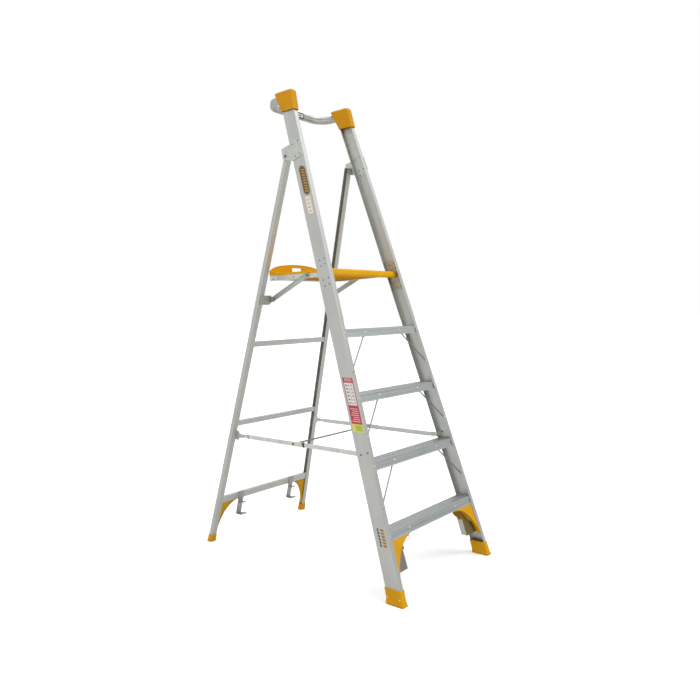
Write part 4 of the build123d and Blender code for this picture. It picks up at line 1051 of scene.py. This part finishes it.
P = folded_bar(SP_F, SP_M, 22.0, 305.0, 298.5, 2.0, 0, 18, 14)
pair(P, "spreader_front", "spreader_front", Z_, [M_BAR], "spreader_front")
P = folded_bar(SP_R, SP_M, 22.0, 311.5, 306.6, 2.0, 50.0, 46, 4, 2.2)
for yb in (397.0, 389.0):
    o = along(SP_R, SP_M, [(438 - yb - 1.6, -11.2), (438 - yb + 1.6, -11.2), (438 - yb + 1.6, 11.2), (438 - yb - 1.6, 11.2)])
    P.take(slab_x(o, 310.0, 311.95, w=.4), (0, 0, 1), 1)
P.take(lathe([(0, 0), (7.0, 0), (7.0, 1.2), (5.6, 2.8), (0, 3.0)], (311.5, *SP_M), (1, 0, 0), 24), (1, 0, 0), 1, 50)
P.take(lathe([(0, 0), (6.0, 0), (6.0, 3.0), (0, 3.0)], (306.55, *SP_M), (1, 0, 0), 24), (1, 0, 0), 1)
L_ = P.mirror()
P.make("v_spreader_rear_right", "spreader_rear_right", Z_, [M_BAR, M_DARK], "spreader_rear_right")
L_.make("v_spreader_rear_left", "spreader_rear_left", Z_, [M_BAR, M_DARK], "spreader_rear_left")
P = Part().take(lathe([(0, 0), (3.9, 0), (4.4, .8), (4.4, 605.2), (3.9, 606), (0, 606)], (-303.0, *SP_M), (1, 0, 0), 24), (1, 0, 0), sharp=34)
P.make("v_spreader_cross_rod", "spreader_front", Z_, [M_ROD], "spreader_cross_rod")
P = Part()
zc = SP_M[1]
U = [(306.3, zc - 12.8), (306.3, zc + 12.8), (297, zc + 12.8), (297, zc + 11.3), (305.0, zc + 11.3), (305.0, zc - 11.3), (297, zc - 11.3), (297, zc - 12.8)]
P.take(slab_y(rounded(U, [1.6, 1.6, .6, .6, .6, .6, .6, .6], 4), -22, -12.4, w=.3), (0, 1, 0))
P.both().make("v_spreader_buffers", "spreader_front", "black_plastic", [M_BLACK], "spreader_buffers")

# ------------------------------------------------------------------ stage: floor, world, lamps
fm = Mat("floor_paper")
g = fm.noise((3, 3, 3), 3, .5)
seen = fm.add("ShaderNodeLightPath")
fm.link(fm.mix(seen.outputs["Is Camera Ray"], fm.mix(g, (.60, .60, .595), (.62, .62, .615)), fm.mix(g, (.985, .985, .985), (1.0, 1.0, 1.0))), fm.p.inputs["Base Color"])
fm.flat(Roughness=.85, **{"Specular IOR Level": .12})
me = bpy.data.meshes.new("floor")
F = 60.0
me.from_pydata([(-F, -F, -.0003), (F, -F, -.0003), (F, F, -.0003), (-F, F, -.0003)], [], [(0, 1, 2, 3)])
me.materials.append(fm.m)
floor = bpy.data.objects.new("floor", me)
bpy.context.scene.collection.objects.link(floor)

sc = bpy.context.scene
world = bpy.data.worlds.new("studio")
sc.world = world
world.use_nodes = True
nt = world.node_tree
bg = next(n for n in nt.nodes if n.type == "BACKGROUND")
out = next(n for n in nt.nodes if n.type == "OUTPUT_WORLD")
tc = nt.nodes.new("ShaderNodeTexCoord")
sep = nt.nodes.new("ShaderNodeSeparateXYZ")
nt.links.new(tc.outputs["Generated"], sep.inputs[0])


def wmath(op, a, b):
    n = nt.nodes.new("ShaderNodeMath")
    n.operation = op
    for i, v in enumerate((a, b)):
        if isinstance(v, (int, float)):
            n.inputs[i].default_value = v
        else:
            nt.links.new(v, n.inputs[i])
    return n.outputs[0]


def lobe(direction, power, gain):
    d = nt.nodes.new("ShaderNodeVectorMath")
    d.operation = "DOT_PRODUCT"
    d.inputs[1].default_value = Vector(direction).normalized()
    nt.links.new(tc.outputs["Generated"], d.inputs[0])
    return wmath("MULTIPLY", wmath("POWER", wmath("MAXIMUM", d.outputs["Value"], 0.0), power), gain)


# a broad overhead softbox, a wall of light to the left and rear, a dimmer room in front on the right
total = wmath("ADD", wmath("ADD", .33, lobe((.15, -.25, 1), 1.6, .95)), wmath("ADD", lobe((-.75, .65, .15), 1.5, .56), lobe((.70, .70, .30), 2.0, .35)))
nt.links.new(total, bg.inputs["Strength"])
bg.inputs["Color"].default_value = (.985, .995, 1.0, 1)
bg2 = nt.nodes.new("ShaderNodeBackground")
bg2.inputs["Color"].default_value = (1, 1, 1, 1)
bg2.inputs["Strength"].default_value = 1.0
lp = nt.nodes.new("ShaderNodeLightPath")
mx = nt.nodes.new("ShaderNodeMixShader")
nt.links.new(lp.outputs["Is Camera Ray"], mx.inputs[0])
nt.links.new(bg.outputs[0], mx.inputs[1])
nt.links.new(bg2.outputs[0], mx.inputs[2])
nt.links.new(mx.outputs[0], out.inputs["Surface"])


def lamp(name, kind, energy, direction, angle=None, color=(1, 1, 1)):
    l = bpy.data.lights.new(name, kind)
    l.energy = energy
    l.color = color
    if angle:
        l.angle = rad(angle)
    o = bpy.data.objects.new(name, l)
    o.rotation_mode = "QUATERNION"
    o.rotation_quaternion = Vector(direction).to_track_quat("-Z", "Y")
    o.location = -Vector(direction) * 5
    sc.collection.objects.link(o)
    return o


lamp("key", "SUN", 1.25, (-.30, .62, -1.0), 50)
lamp("side", "SUN", .55, (.75, .25, -.90), 60)
sc.view_settings.view_transform = "Standard"
sc.view_settings.look = "None"
sc.view_settings.exposure = 0
sc.view_settings.gamma = 1

# ------------------------------------------------------------------ camera
yaw, pitch, roll, focal = .8725826, -.0621742, -.0200787, 651.77
cam = bpy.data.cameras.new("camera")
cam.sensor_width = 36.0
cam.lens = focal / 700 * 36.0
cam.clip_end = 200
co = bpy.data.objects.new("camera", cam)
fwd = Vector((math.sin(yaw) * math.cos(pitch), math.cos(yaw) * math.cos(pitch), math.sin(pitch)))
right = Vector((math.cos(yaw), -math.sin(yaw), 0))
up = right.cross(fwd)
r2 = right * math.cos(roll) + up * math.sin(roll)
u2 = up * math.cos(roll) - right * math.sin(roll)
co.matrix_world = Matrix(((r2.x, u2.x, -fwd.x, -2.636394), (r2.y, u2.y, -fwd.y, -2.292740), (r2.z, u2.z, -fwd.z, 1.299566), (0, 0, 0, 1)))
sc.collection.objects.link(co)
sc.camera = co

bpy.context.view_layer.update()
